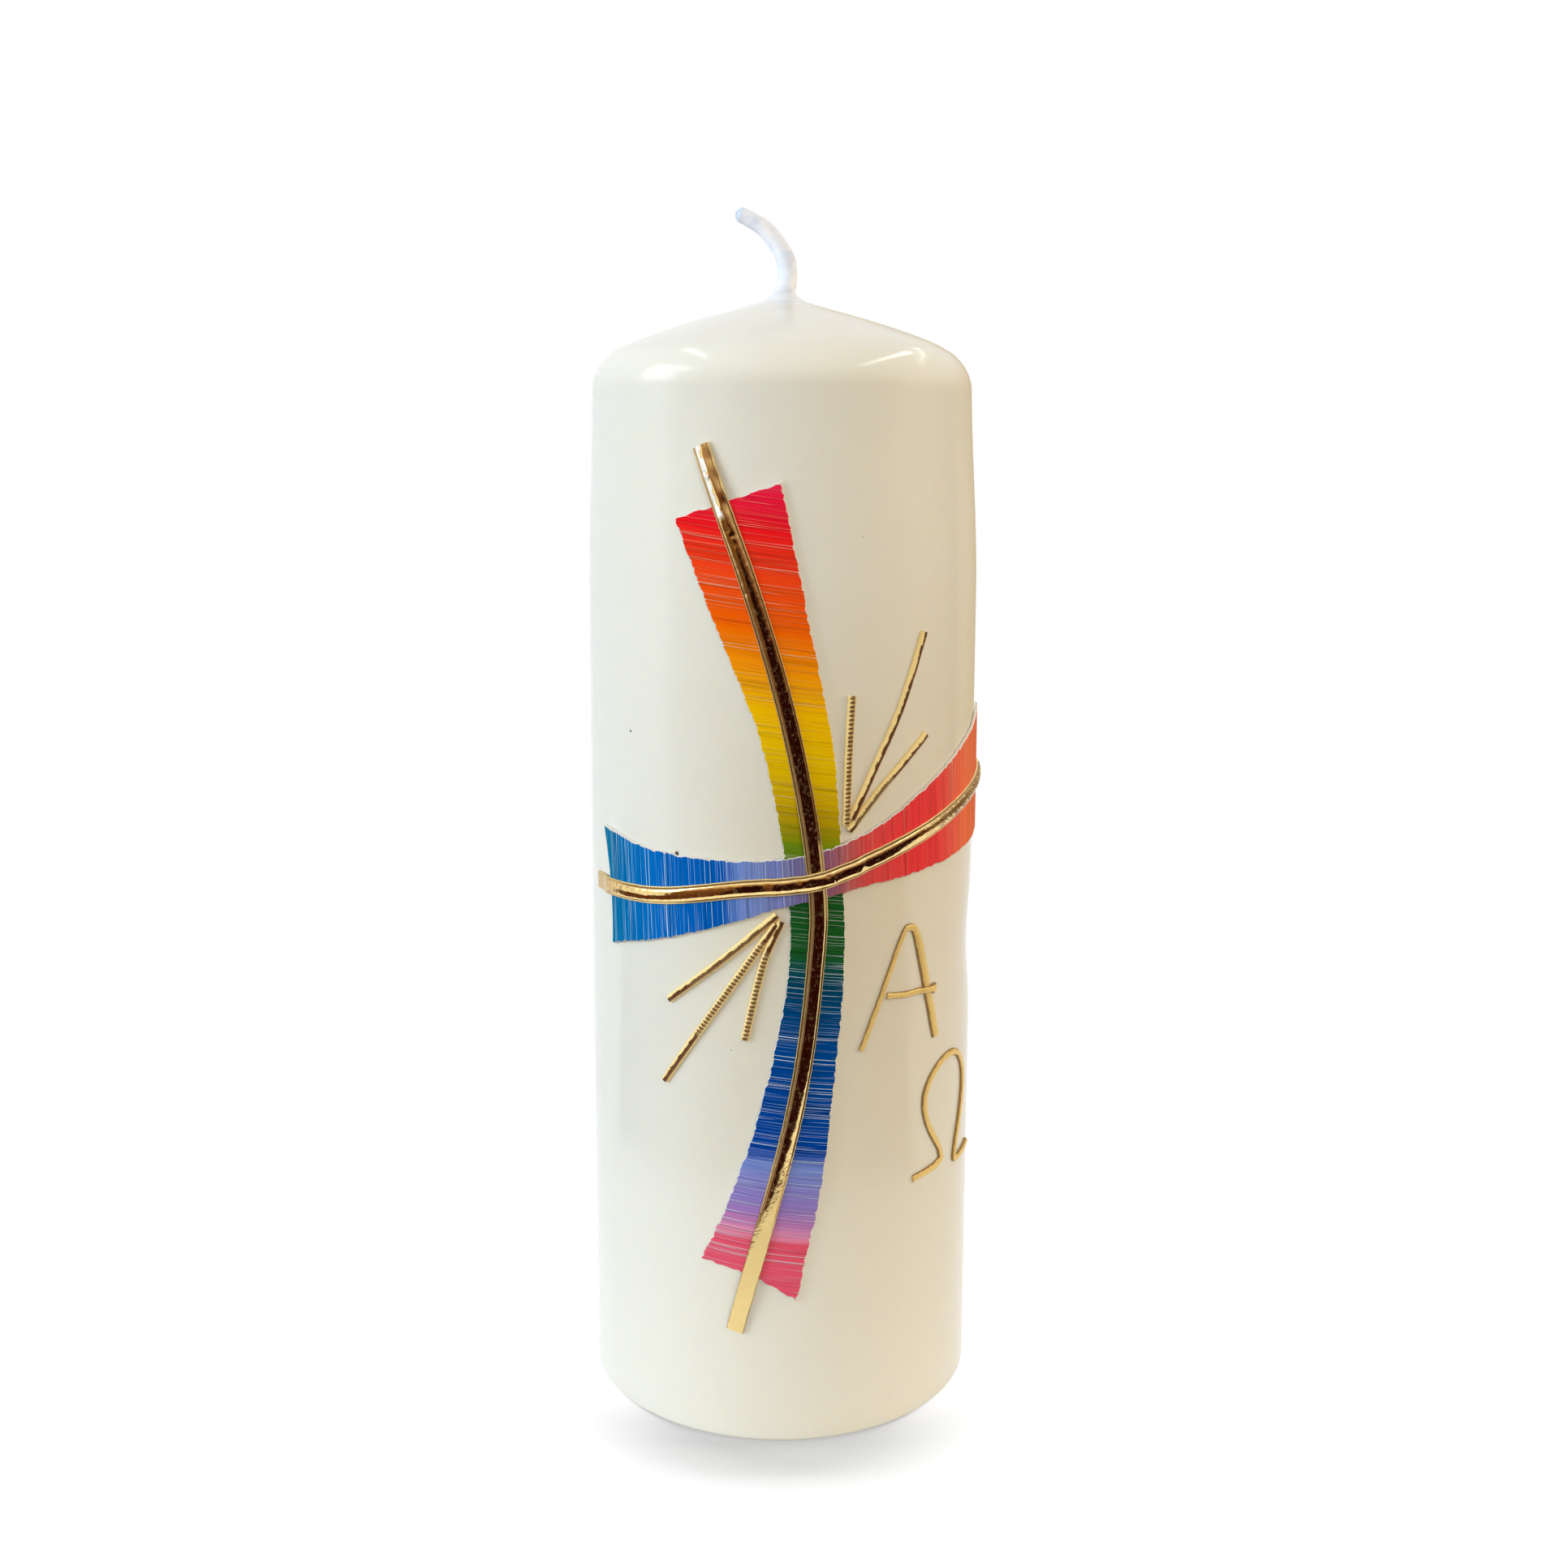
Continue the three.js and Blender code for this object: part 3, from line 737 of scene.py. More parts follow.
def wick_tab_outline():
    """Disc with a rolled edge and two pressed rings, which are the eighth power of a cosine, and
    the neck crimped on the wick."""
    seat, thickness, reach = 0.2, 0.4, 7.5
    radii = np.linspace(2.6, reach, 60)
    rings = 0.12 * np.cos((radii - 4.6) * 2.6) ** 8
    rings = rings * smooth_step(3.2, 3.8, radii) * (1 - smooth_step(6.4, 6.9, radii))
    lower = pairs(radii, seat + rings)
    upper = pairs(radii, seat + thickness + rings)[::-1]
    neck = np.array([
        (2.32, 0.75), (2.32, 3.9), (2.2, 4.2), (2.0, 4.2), (1.92, 4.1), (1.92, 0.4), (2.1, 0.22)])
    return np.concatenate([lower, upper[:-1], neck])


def wick_piece(material):
    """Tube along the wick's route: straight to the collar, then the bent free end.

    The radius waves with three braid ridges that wind round it, and closes over the tip as the
    square root of the distance left.
    """
    dense = curve_at([(side, COLLAR_TOP + rise) for side, rise in FREE_WICK_ROUTE], np.linspace(0, 1, 400))
    total = running_length(dense)[-1]
    tip_share = 1 - np.linspace(0, 1, 12)[1:]
    free_along = np.concatenate([
        np.linspace(0, total - WICK_TIP_LENGTH, 90), total - WICK_TIP_LENGTH * tip_share ** 2])
    free = at_lengths(dense, free_along)
    straight_heights = np.linspace(0.3, COLLAR_TOP, 12)[:-1]
    along = np.concatenate([straight_heights - COLLAR_TOP, free_along])[:, None]
    centre = np.concatenate([pairs(0.0, straight_heights), free])
    travel = np.concatenate([
        np.tile([0.0, 1.0], (len(straight_heights), 1)), unit(np.gradient(free, free_along, axis=0))])

    rows, sides = len(centre), 28
    angle = 2 * np.pi * np.arange(sides) / sides
    taper = 1 - 0.2 * smooth_step(3, 17, along)
    ridges = 1 - 0.02 * (1 - np.cos(3 * angle + along * 1.1)) * smooth_step(0, 2, along)
    uneven = 1 - 0.025 * (1 + ripple(along, 5, (3.1, 1), (7.0, 1))) * smooth_step(0, 3, along)
    closing = np.sqrt(np.clip((np.clip(total - along, 0, None) + 0.02) / 0.9, 0.02, 1))
    radius = (WICK_RADIUS * taper * ridges * uneven * closing)[..., None]
    sideways = np.array([math.cos(WICK_BEND_AZIMUTH), math.sin(WICK_BEND_AZIMUTH), 0])
    up = np.array([0.0, 0.0, 1.0])
    in_plane = travel[:, 1:] * sideways - travel[:, :1] * up
    spine = centre[:, :1] * sideways + centre[:, 1:] * up
    round_it = (-np.cos(angle)[None, :, None] * in_plane[:, None]
                + np.sin(angle)[None, :, None] * np.cross(sideways, up))
    points = np.concatenate([(spine[:, None] + radius * round_it).reshape(-1, 3), spine[[0, -1]]])
    place = np.concatenate([pairs(angle, along).reshape(-1, 2), pairs(0.0, along[[0, -1], 0])])

    ring, following = np.arange(sides), (np.arange(sides) + 1) % sides
    last, foot_middle = (rows - 1) * sides, rows * sides
    foot = np.stack([ring, following, np.full(sides, foot_middle)], axis=1)[:, ::-1]
    tip = np.stack([last + ring, last + following, np.full(sides, foot_middle + 1)], axis=1)
    faces = [grid_quads(rows, sides, wrap_columns=True), foot, tip]
    make_piece("wick", points, faces, material, "wick_cotton", place=place, sharp=180)


# ---- bands --------------------------------------------------------------------------------

def edge_shares(width, columns):
    """Shares across a band: even ones, and close ones at fixed distances from its two edges, so
    that these can be rounded."""
    near = np.array([0, 0.1, 0.22, 0.45]) / width
    middle = np.linspace(0.9 / width, 1 - 0.9 / width, columns)
    return np.concatenate([near, middle, 1 - near[::-1]])


def teeth(lengths, seed, pitch, depth):
    """Seeded saw line of 0 to depth: straight between random heights at every pitch, squared so
    that few of them are deep."""
    random = np.random.default_rng(seed)
    knots = np.arange(lengths.min() - pitch, lengths.max() + 2 * pitch, pitch)
    return depth * np.interp(lengths, knots, random.uniform(0, 1, len(knots)) ** 2)


def serrate(places, along, seed, end_depth):
    """Roughens a band's cut edges: each border place moves in by a seeded saw line that fades
    over the next places, and the ends move along the band in the same way."""
    rows, columns = places.shape[:2]
    width = np.linalg.norm(places[:, -1] - places[:, 0], axis=1)
    direction = unit(places[:, -1] - places[:, 0])
    moved = places.copy()
    for side, sign in ((0, 1), (columns - 1, -1)):
        depth = (teeth(along, seed + side, 0.55, TOOTH_DEPTH)
                 + teeth(along, seed + side + 7, 2.3, TOOTH_DEPTH * 0.6))
        for k, fade in enumerate((1, 0.9, 0.7, 0.3)):
            moved[:, side + sign * k] += sign * fade * depth[:, None] * direction
    travel = unit(np.gradient(places, axis=0))
    for row, sign in ((0, 1), (rows - 1, -1)):
        across = np.linspace(0, 1, columns) * width[row]
        tear = (teeth(across, seed + 50 + row, 0.6, end_depth)
                + teeth(across, seed + 60 + row, 2.9, end_depth))
        for k, fade in enumerate((1, 0.8, 0.5, 0.2)):
            line = row + sign * k
            moved[line] += sign * fade * tear[:, None] * travel[line]
    return moved


def band_piece(node, edges, bow, rows, columns, lift_at, seed, end_depth, material, slot):
    """Wax sheet between two edge curves, laid on what is below it: its top falls off as a
    quarter circle near the cut edge."""
    shares = np.linspace(0, 1, rows)
    lengths = running_length(sum(curve_at(edge, shares) for edge in edges) / 2)
    total = lengths[-1]
    even = np.interp(np.linspace(0, total, rows), lengths, shares)
    across = edge_shares(BAND_WIDTH, columns)
    places = serrate(band_places(edges, even, across, bow), np.linspace(0, total, rows), seed, end_depth)
    from_ends = np.minimum(np.arange(rows), np.arange(rows)[::-1])[:, None] * (total / rows)
    width = np.linalg.norm(places[:, -1] - places[:, 0], axis=1)[:, None]
    edge_distance = np.minimum(from_ends, np.minimum(across, 1 - across)[None] * width)
    share = np.clip(edge_distance / SHEET_ROUNDING, 0, 1)
    top = SHEET_THICKNESS - 0.2 * (1 - np.sqrt(1 - (1 - share) ** 2))
    lift = lift_at(places)
    points = np.concatenate([on_wall(places, height).reshape(-1, 3) for height in (lift + top, lift)])
    cut = np.clip(1 - edge_distance / CUT_WIDTH, 0, 1).ravel()
    make_piece(node, points, [sheet_quads(*places.shape[:2])], material, slot, sharp=60,
               place=np.concatenate([places.reshape(-1, 2)] * 2), cut=np.concatenate([cut * 0.85, cut]))


UPRIGHT_COLOURS = [
    # height of the streak above the crossing in millimetres, red, green, blue
    (68, 250, 62, 98), (63, 244, 30, 66), (57, 246, 26, 34), (50, 250, 70, 26), (42, 250, 100, 4),
    (34, 252, 160, 10), (28, 250, 192, 2), (21, 240, 196, 0), (14, 214, 176, 6), (10, 180, 154, 10),
    (6, 110, 142, 20), (-1, 28, 90, 36), (-12, 28, 90, 36), (-17, 4, 68, 96), (-27, 0, 72, 146),
    (-47, 0, 68, 164), (-50, 122, 142, 214), (-57, 150, 124, 198), (-60.5, 194, 122, 178),
    (-62, 230, 146, 182), (-63.5, 234, 88, 112), (-74, 234, 88, 112),
]
CROSSBAR_COLOURS = [
    # arc of the streak to the right of the crossing in millimetres, red, green, blue
    (-45, 6, 124, 142), (-39, 0, 114, 170), (-28, 0, 106, 192), (-16, 0, 88, 178),
    (-12.5, 120, 144, 210), (-6, 118, 122, 178), (0, 116, 92, 134), (5, 190, 96, 98),
    (9, 226, 76, 76), (17, 242, 64, 68), (23, 242, 64, 68), (28, 246, 98, 84), (34, 252, 126, 86),
    (52, 252, 126, 86),
]
STREAK_TILT = math.tan(math.radians(7.5))
CROSSBAR_LEAN = math.tan(math.radians(3))
WARM_PALE = srgb(255, 216, 172)
CUT_COLOUR = srgb(236, 230, 220)


def brushed_band_wax(name, colours, streak, along, cool_pale, warm, cool):
    """Painted wax sheet: its colour follows the streak, with pale and dark brush lines, partly
    painted highlights and painted shade, and whitish cut edges. Streak and along give the two
    coordinates as (arc share, height share); warm and cool are (streak, strength) between which
    the pale lines grow stronger."""
    def look(tree):
        arc, height = surface_place(tree)
        over = arc * streak[0] + height * streak[1]
        length = arc * along[0] + height * along[1]
        lines = use_group(BRUSHED_PAINT, {"Along": length, "Over": over})
        ordered = sorted(colours)
        low, high = ordered[0][0], ordered[-1][0]
        stops = [((value - low) / (high - low), srgb(*colour)) for value, *colour in ordered]
        waver = noise(combined(length * 0.04, over * 0.9), 1.0, 2.0, 0.6) * 3.2 - 1.6
        hue = ramp(span_of(over + waver, low, high), stops)
        strength = span_of(over, warm[0], cool[0], warm[1], cool[1]) * span_of(over, -74, -52, 0.4, 1.0)
        darkened = blend(lines["Dark"] * (strength * 0.1 + 0.32), hue, (0, 0, 0, 1))
        pale_colour = blend(span_of(over, warm[0], cool[0]), WARM_PALE, cool_pale)
        lightened = blend(lines["Pale"] * strength, darkened, pale_colour)
        cut = out(tree, "ShaderNodeAttribute", output="Fac", attribute_name="cut")
        edge = span_of(lines["Height"] * 0.6 + cut, 0.72, 1.0)
        return {
            "Base Color": blend(edge, lightened, CUT_COLOUR), "Specular IOR Level": 0.0,
            "Roughness": span_of(lines["Height"], 0.3, 0.9, 0.36, 0.5),
            "Normal": bump(lines["Height"], 0.6, 0.1),
        }
    return new_material(name, look)


# ---- shapes of the gold strips ------------------------------------------------------------

def crowned_profile(width, height, bead, foot_height, crown_columns):
    """Across distances and heights of a strip's top: a half ellipse on a low foot, between two
    round beads where it has them."""
    half = width / 2
    foot = foot_height * 0.6 if bead else foot_height
    angle = np.linspace(np.pi, 0, crown_columns)
    across = (half - bead) * np.cos(angle)
    top = foot + (height - foot) * np.sin(angle)
    if bead:
        turn = np.linspace(0.95 * np.pi, 0.1 * np.pi, 7)
        bead_across = -half + bead / 2 * (1 + np.cos(turn))
        bead_top = foot + (foot_height - foot) * np.sin(turn)
        across = np.concatenate([bead_across, across, -bead_across[::-1]])
        top = np.concatenate([bead_top, top, bead_top[::-1]])
    return across, top


def flat_profile(sides, height):
    """Flat ribbon over the same across distances, rounded down at its two edges."""
    from_edge = np.clip((sides.max() - np.abs(sides)) / 0.25, 0, 1)
    return height * (0.6 + 0.4 * np.sqrt(1 - (1 - from_edge) ** 2))


def strip_piece(node, route, step, profile, seat, shape_top, material, slot, waver, seed, spread=None):
    """Strip laid along a route: its top, which shape_top gives over along and across, is carried
    along the stations, lifted by its seat, and wavers sideways by a seeded ripple; spread(along)
    widens it."""
    places, across, along = stations_along(route, step)
    sides, crown = profile
    sideways = waver * ripple(along, seed, (2.1, 1), (5.3, 1), (1.1, 0.5))
    widths = spread(along) if spread else np.ones(len(along))
    offsets = sides * widths[:, None] + sideways[:, None]
    grid = places[:, None] + across[:, None] * offsets[..., None]
    lift = seat(places, across, along)[:, None]
    top = shape_top(places, along[:, None], sides[None], crown[None])
    points = np.concatenate([on_wall(grid, height).reshape(-1, 3) for height in (lift + top, lift)])
    place = np.concatenate([pairs(sides, along[:, None]).reshape(-1, 2)] * 2)
    quads = sheet_quads(len(places), len(sides))[:, ::-1]
    make_piece(node, points, [quads], material, slot, place=place, sharp=55)


def distance_to_route(route, places):
    """Least distance of places from a route's dense points."""
    dense = curve_at(route, np.linspace(0, 1, 400))
    return np.linalg.norm(places[..., None, :] - dense, axis=-1).min(axis=-1)


def strip_top(places):
    """Top of the sheets, and on them the upright strip: a rim, and a half ellipse within its
    crown's half width."""
    away = distance_to_route(UPRIGHT_STRIP_ROUTE, places)
    crown = PRESSED_RIM + PRESSED_CROWN * np.sqrt(np.clip(1 - (away / CROWN_HALF_WIDTH) ** 2, 0, 1))
    return sheet_top(places) + np.where(away < STRIP_WIDTH / 2, crown, 0)


def laid_over(height_at, reach, softness):
    """Seat of a strip that is draped over the highest of what lies under its width."""
    def seat(places, across, along):
        footprint = np.linspace(-0.55, 0.55, 7)[None, :, None] * STRIP_WIDTH
        heights = height_at(places[:, None] + across[:, None] * footprint).max(axis=1)
        return SEAT_GAP * 0.5 + draped(heights, along[1], reach, softness)
    return seat


def seat_on_wall(places, across, along):
    """A third of the seat gap above the bare wall, all along."""
    return np.full(len(places), SEAT_GAP * 0.3)


def seat_over_leg(places, across, along):
    """The alpha's bar rises over its right leg."""
    away = distance_to_route(LETTER_ROUTES["alpha_arch"], places)
    over = np.where((away < LETTER_WIDTH / 2 + 0.1) & (along > along[-1] / 2), LETTER_HEIGHT, 0)
    return SEAT_GAP * 0.3 + draped(over, along[1], 0.9, 0.35)


upright_places, _, upright_lengths = stations_along(UPRIGHT_STRIP_ROUTE, 0.25)
UPRIGHT_STRIP_LENGTH = upright_lengths[-1]
UPRIGHT_CROSSING = upright_lengths[np.argmin(np.linalg.norm(upright_places - CROSSING_PLACE, axis=1))]

# Dents in a strip's top: length, across distance, reach, depth
UPRIGHT_DENTS = [
    (4.4, -0.7, 0.35, 0.22), (5.3, -0.4, 0.3, -0.16), (14.5, -0.3, 0.5, 0.12), (15.6, 0.2, 0.4, 0.12),
    (17.0, -0.2, 0.5, 0.08), (25.2, -0.9, 0.35, 0.10), (33.0, 0.4, 0.3, 0.07),
]
CROSSBAR_DENTS = [
    # lengths from the crossing
    (-0.9, 0.3, 0.45, 0.14), (0.6, -0.5, 0.5, -0.12), (1.9, 0.6, 0.4, 0.12), (3.0, -0.7, 0.4, 0.1),
    (-30.0, 0.4, 0.7, 0.05),
]


def dented(top, along, sides, dents):
    """Top with round dents, each a bell of the distance from its middle."""
    for at, across, reach, depth in dents:
        top = top - depth * np.exp(-((along - at) ** 2 + (sides - across) ** 2) / reach ** 2)
    return top


def upright_strip_top(places, along, sides, crown):
    """Crown a little lower near the crossbar strip; at the top end its ridge sits right of the
    middle and its left flank is wide and dented; at the foot it runs out into a flat ribbon."""
    away = distance_to_route(CROSSBAR_STRIP_ROUTE, places)[:, None]
    waver = 1 + 0.02 * ripple(along, 31, (4.0, 1), (9.0, 1))
    top = crown * (0.88 + 0.12 * smooth_step(1.5, 6, away)) * waver
    ridge = 0.15 + 0.25 * ripple(along, 12, (6.1, 1), (3.7, 0.6))
    left_flank = 0.72 + 0.52 * (sides - ridge)
    right_flank = 0.72 - (0.26 + 0.12 * ripple(along, 18, (4.3, 1))) * (sides - ridge)
    ridged = np.minimum(np.where(sides < ridge, left_flank, right_flank), flat_profile(sides, 0.85))
    ridged = np.where(np.abs(sides) > 1.2, np.maximum(ridged, crown), ridged)
    end = 1 - smooth_step(9.6, 13.0, along)
    foot = smooth_step(UPRIGHT_STRIP_LENGTH - 24, UPRIGHT_STRIP_LENGTH - 19, along)
    top = top * (1 - end) + ridged * end
    top = top * (1 - foot) + flat_profile(sides, 0.5) * foot
    return np.maximum(dented(top, along, sides, UPRIGHT_DENTS), 0.1)


def crossbar_strip_top(places, along, sides, crown):
    """Crown with a knot and dents where it comes over the upright strip, a flat left end, and
    slanting crinkles towards its right end."""
    crossing = along[np.argmin(np.linalg.norm(places - CROSSING_PLACE, axis=1)), 0]
    beginning = smooth_step(4.0, 8.0, along)
    waver = 1 + 0.025 * ripple(along + 0.6 * sides, 17, (1.9, 1), (4.7, 1))
    slanting = ripple(along + 1.6 * sides, 29, (1.3, 1), (2.9, 1))
    crinkled = smooth_step(crossing + 22, crossing + 27, along) * slanting
    top = crown * (waver + 0.05 * crinkled) * beginning + flat_profile(sides, 0.45) * (1 - beginning)
    return np.clip(dented(top, along - crossing, sides, CROSSBAR_DENTS), 0.1, STRIP_HEIGHT)


def ribbed_top(places, along, sides, crown):
    """Wire crown with shallow transverse ribs, a cosine uneven in depth, and a slack waver."""
    ribs = 0.5 + 0.5 * np.cos(2 * np.pi * (along + 0.12 * sides) / RIB_PITCH)
    depth = 0.02 + 0.05 * smooth_step(-0.3, 0.8, ripple(along, 37, (6.0, 1), (2.9, 1)))
    return crown * (1 - depth * (1 - ribs) + 0.03 * ripple(along, 23, (1.7, 1), (3.9, 1)))


def wire_top(places, along, sides, crown):
    """Soft wire crown that is slightly uneven along."""
    return crown * (1 + 0.04 * ripple(along + 0.5 * sides, 17, (1.3, 1), (4.7, 1)))


LETTER_SPREADS = {
    # the arch is thin on its left leg and broad on its right, and the bar ends in a knob
    "alpha_arch": lambda along: 0.85 + 0.75 * smooth_step(20, 28, along),
    "alpha_bar": lambda along: 0.95 + 0.6 * smooth_step(along[-1] - 1.6, along[-1] - 0.8, along),
    "omega_strip": lambda along: 1.12 + 0.15 * ripple(along, 9, (7.0, 1), (15.0, 1)),
}


# ---- looks of the gold strips -------------------------------------------------------------

PALE_GOLD = srgb(246, 218, 148)
LIGHT_GOLD = srgb(253, 224, 150)
LETTER_GOLD = srgb(245, 209, 124)
FOIL_GOLD = srgb(250, 220, 150)
DENT_GOLD = srgb(196, 146, 82)
# Brown of scratches, spots, crinkles and the tanned end, and of painted shade along crease lines, foot edges
# and letter edges
BROWN_MARKS_AND_SHADE = srgb(104, 54, 24)
# Brown of the rays' painted shade and painted dark reflection
PAINTED_SHADE_BROWN = srgb(98, 42, 18)
# White of the painted highlight at the upright strip's top end
PAINTED_HIGHLIGHT = srgb(255, 252, 240)
SATIN_FOOT = UPRIGHT_STRIP_LENGTH - 31
TOP_END = 12.4
CROSSBAR_CRINKLES = 72


def gold_foil(name, crinkle, base_roughness, dent_share, satin, satin_share, pattern):
    """Gold foil on wax, crinkled and dented. Pattern(across, along, foil) gives the share that is
    satin and pale, painted highlights among it, and the share and the colour of its marking,
    which holds scratches and spots as well as painted shade and a painted highlight; satin_share
    is how little metallic the satin part is."""
    def look(tree):
        foil = use_group(FOIL_WRINKLE, {"Position": object_position(tree), "Crinkle": crinkle})
        across, along = surface_place(tree)
        pale, marks_and_painted_light, mark_and_light_colour = pattern(across, along, foil)
        dents = foil["Dents"] * dent_share
        colour = blend(pale * 0.9, blend(dents, FOIL_GOLD, DENT_GOLD), satin)
        return {
            "Base Color": blend(marks_and_painted_light, colour, mark_and_light_colour),
            "Roughness": dents * 0.12 + base_roughness + pale * 0.35 + marks_and_painted_light * 0.15,
            "Metallic": 1.0 - greatest(pale * satin_share, marks_and_painted_light * 0.7),
            "Normal": bump(foil["Height"], 0.4, 0.06),
        }
    return new_material(name, look)


def flecks(across, along, foil):
    """Pale grain of the foil: fine flecks drawn out along the strip, and specks."""
    drawn = noise(combined(across * 2.6, along * 1.1), 1.0, 3.0, 0.75)
    return greatest(span_of(drawn, 0.58, 0.76, 0.0, 0.3), foil["Specks"] * 0.15)


def upright_pattern(across, along, foil):
    """Pale rim lines as painted highlights, with dark crease lines inside them as painted shade, and
    grain between, a pale flap at the crossbar, a painted white highlight on the left flank at the
    top end, and a satin foot that reaches up farther on its right side, its edges darkened as
    painted shade, with short dark scratches along its border."""
    border = across * 5.5 + along
    satin = beyond(foil["Dents"] * 1.2 + border, SATIN_FOOT + 5, 0.8)
    near_border = beyond(border, SATIN_FOOT + 1, 1.0) * beyond(border, SATIN_FOOT + 9, -1.5)
    slanted = noise(combined(across * 1.1, across * 2.4 + along * 3.4), 1.0, 2.0, 0.6)
    scratches = beyond(slanted, 0.56, 0.02) * near_border
    side = abs(across)
    # Dark line along the foot's edges: painted shade.
    outline = beyond(side - foil["Dents"] * 0.06, 1.36, 0.02) * beyond(along, SATIN_FOOT + 4, 2.0)
    # Pale rim and inner rim lines: painted highlights.
    painted_rim_highlight = beyond(side, 1.36, 0.05)
    painted_inner_rim_highlight = stripe(across, -1.0, 0.06)
    flap = beyond(across, 0.8, 0.06) * beyond(abs(along - UPRIGHT_CROSSING), 6.5, -0.8)
    # Dark lines inside the rim lines, where the crown meets them: painted shade.
    painted_crease_shade = greatest(stripe(side, 1.16, 0.08), stripe(across, -0.8, 0.06)) * beyond(along, SATIN_FOOT, -3.0)
    # White on the left flank at the top end: painted highlight.
    painted_end_highlight = (beyond(along, TOP_END, -0.5) * beyond(foil["Dents"] * 0.5 + across, 0.05, -0.12)
                 * beyond(across, -1.2, 0.06))
    pale = greatest(satin * 0.9, painted_rim_highlight * 0.7, painted_inner_rim_highlight * 0.45, flap * 0.9, flecks(across, along, foil))
    marks_and_painted_light = greatest(scratches * 0.85, outline * 0.6, painted_crease_shade * 0.8, painted_end_highlight)
    return pale, marks_and_painted_light, blend(painted_end_highlight, BROWN_MARKS_AND_SHADE, PAINTED_HIGHLIGHT)


def crossbar_pattern(across, along, foil):
    """Pale rim lines as painted highlights, with dark crease lines inside them as painted shade, and
    grain between, a tanned left end with dark spots, and slanting brown crinkles at the right."""
    side = abs(across)
    tanned = beyond(along, 9.0, -3.0) * 0.45
    spots = foil["Specks"] * beyond(along, 14.0, -4.0)
    slanted = noise(combined(across * 0.9, across * 1.3 + along * 1.1), 1.0, 3.0, 0.6)
    crinkles = beyond(slanted, 0.45, 0.06) * beyond(along, CROSSBAR_CRINKLES, 4.0)
    # Dark lines inside the rim lines: painted shade.
    painted_crease_shade = stripe(side, 1.14, 0.08) * beyond(along, 10.0, 2.0)
    marks_and_painted_light = greatest(tanned, greatest(spots, crinkles) * beyond(side, 1.1, -0.1), painted_crease_shade) * 0.8
    # Pale rim lines: painted highlights.
    return greatest(beyond(side, 1.32, 0.05) * 0.75, flecks(across, along, foil)), marks_and_painted_light, BROWN_MARKS_AND_SHADE


def ray_pattern(ribs, first_rib, last_rib):
    """Satin pale left flank with a crumbled border as painted highlight, dark right flank as painted
    dark reflection, thin pale rim as painted highlight; between two lengths the crown has
    painted highlights on its ribs with painted shade between them."""
    def pattern(across, along, foil):
        crumbled = foil["Dents"] * 0.22 + across
        before_rim = beyond(across, 0.5, -0.04)
        ribbed = beyond(along, first_rib, 0.6) * beyond(along, last_rib, -0.6)
        crown = beyond(across, -0.42, 0.06) * before_rim * ribbed
        ribbing = calc("COSINE", (across * 0.12 + along) * (2 * math.pi / RIB_PITCH))
        # Dark between the ribs: painted shade.
        painted_gap_shade = beyond(ribbing, 0.0, -0.35) * ribs * crown
        # Dark right flank: painted dark reflection.
        flank = beyond(crumbled, 0.0, 0.06) * before_rim * 0.95 * (ribbed * (-0.75 * ribs) + 1.0)
        # Pale left flank, rim and ribs: painted highlights.
        pale = greatest(beyond(crumbled, -0.1, -0.06), beyond(across, 0.52, 0.04) * 0.8, crown * (0.6 * ribs))
        return pale, greatest(painted_gap_shade, flank), PAINTED_SHADE_BROWN
    return pattern


def letter_pattern(across, along, foil):
    """Satin gold between two thin brown lines along its edges, which are painted shade."""
    # Brown lines at the letter's edges: painted shade.
    line = beyond(abs(across) - foil["Dents"] * 0.08, 0.43, 0.04) * 0.7
    return 1.0 - foil["Dents"] * 0.2, line, BROWN_MARKS_AND_SHADE


# ---- building the candle ------------------------------------------------------------------

turned_piece("dipped_coat", coat_outline(), 256, new_material("ivory dipped wax", dipped_wax), "dipped_wax",
             40, wall_slack)
turned_piece("wick_tab", wick_tab_outline(), 96, new_material("rolled tinplate", tinplate), "tinplate", 60)
wick_piece(new_material("primed wick cotton", primed_cotton))
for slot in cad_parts["pressed_core"].material_slots:
    slot.material = new_material("pressed wax granules", pressed_wax)

band_piece(
    "upright_band", UPRIGHT_EDGES, upright_bow, 880, 24, upright_lift, 7, 0.6, brushed_band_wax(
        "brushed rainbow wax", UPRIGHT_COLOURS, (STREAK_TILT, 1.0), (1.0, -STREAK_TILT),
        srgb(218, 234, 255), (6, 0.22), (-12, 0.95)), "upright_sheet_wax")
band_piece(
    "crossbar_band", CROSSBAR_EDGES, crossbar_bow, 600, 22, crossbar_lift, 19, 0.12, brushed_band_wax(
        "brushed crossbar wax", CROSSBAR_COLOURS, (1.0, CROSSBAR_LEAN), (-CROSSBAR_LEAN, 1.0),
        srgb(186, 226, 255), (10, 0.25), (-8, 0.9)), "crossbar_sheet_wax")

strip_shape = crowned_profile(STRIP_WIDTH, STRIP_HEIGHT, STRIP_BEAD, STRIP_BEAD, 21)
for node, route, seat, shape_top, foil_name, pattern, seed in (
        ("upright_strip", UPRIGHT_STRIP_ROUTE, laid_over(sheet_top, 7, 3), upright_strip_top,
         "gold strip foil", upright_pattern, 3),
        ("crossbar_strip", CROSSBAR_STRIP_ROUTE, laid_over(strip_top, 1.5, 0.6), crossbar_strip_top,
         "gold crossbar foil", crossbar_pattern, 4)):
    gold = gold_foil(foil_name, 0.5, 0.07, 0.2, PALE_GOLD, 0.6, pattern)
    strip_piece(node, route, 0.25, strip_shape, seat, shape_top, gold, "gold_strip_wax", 0.04, seed)

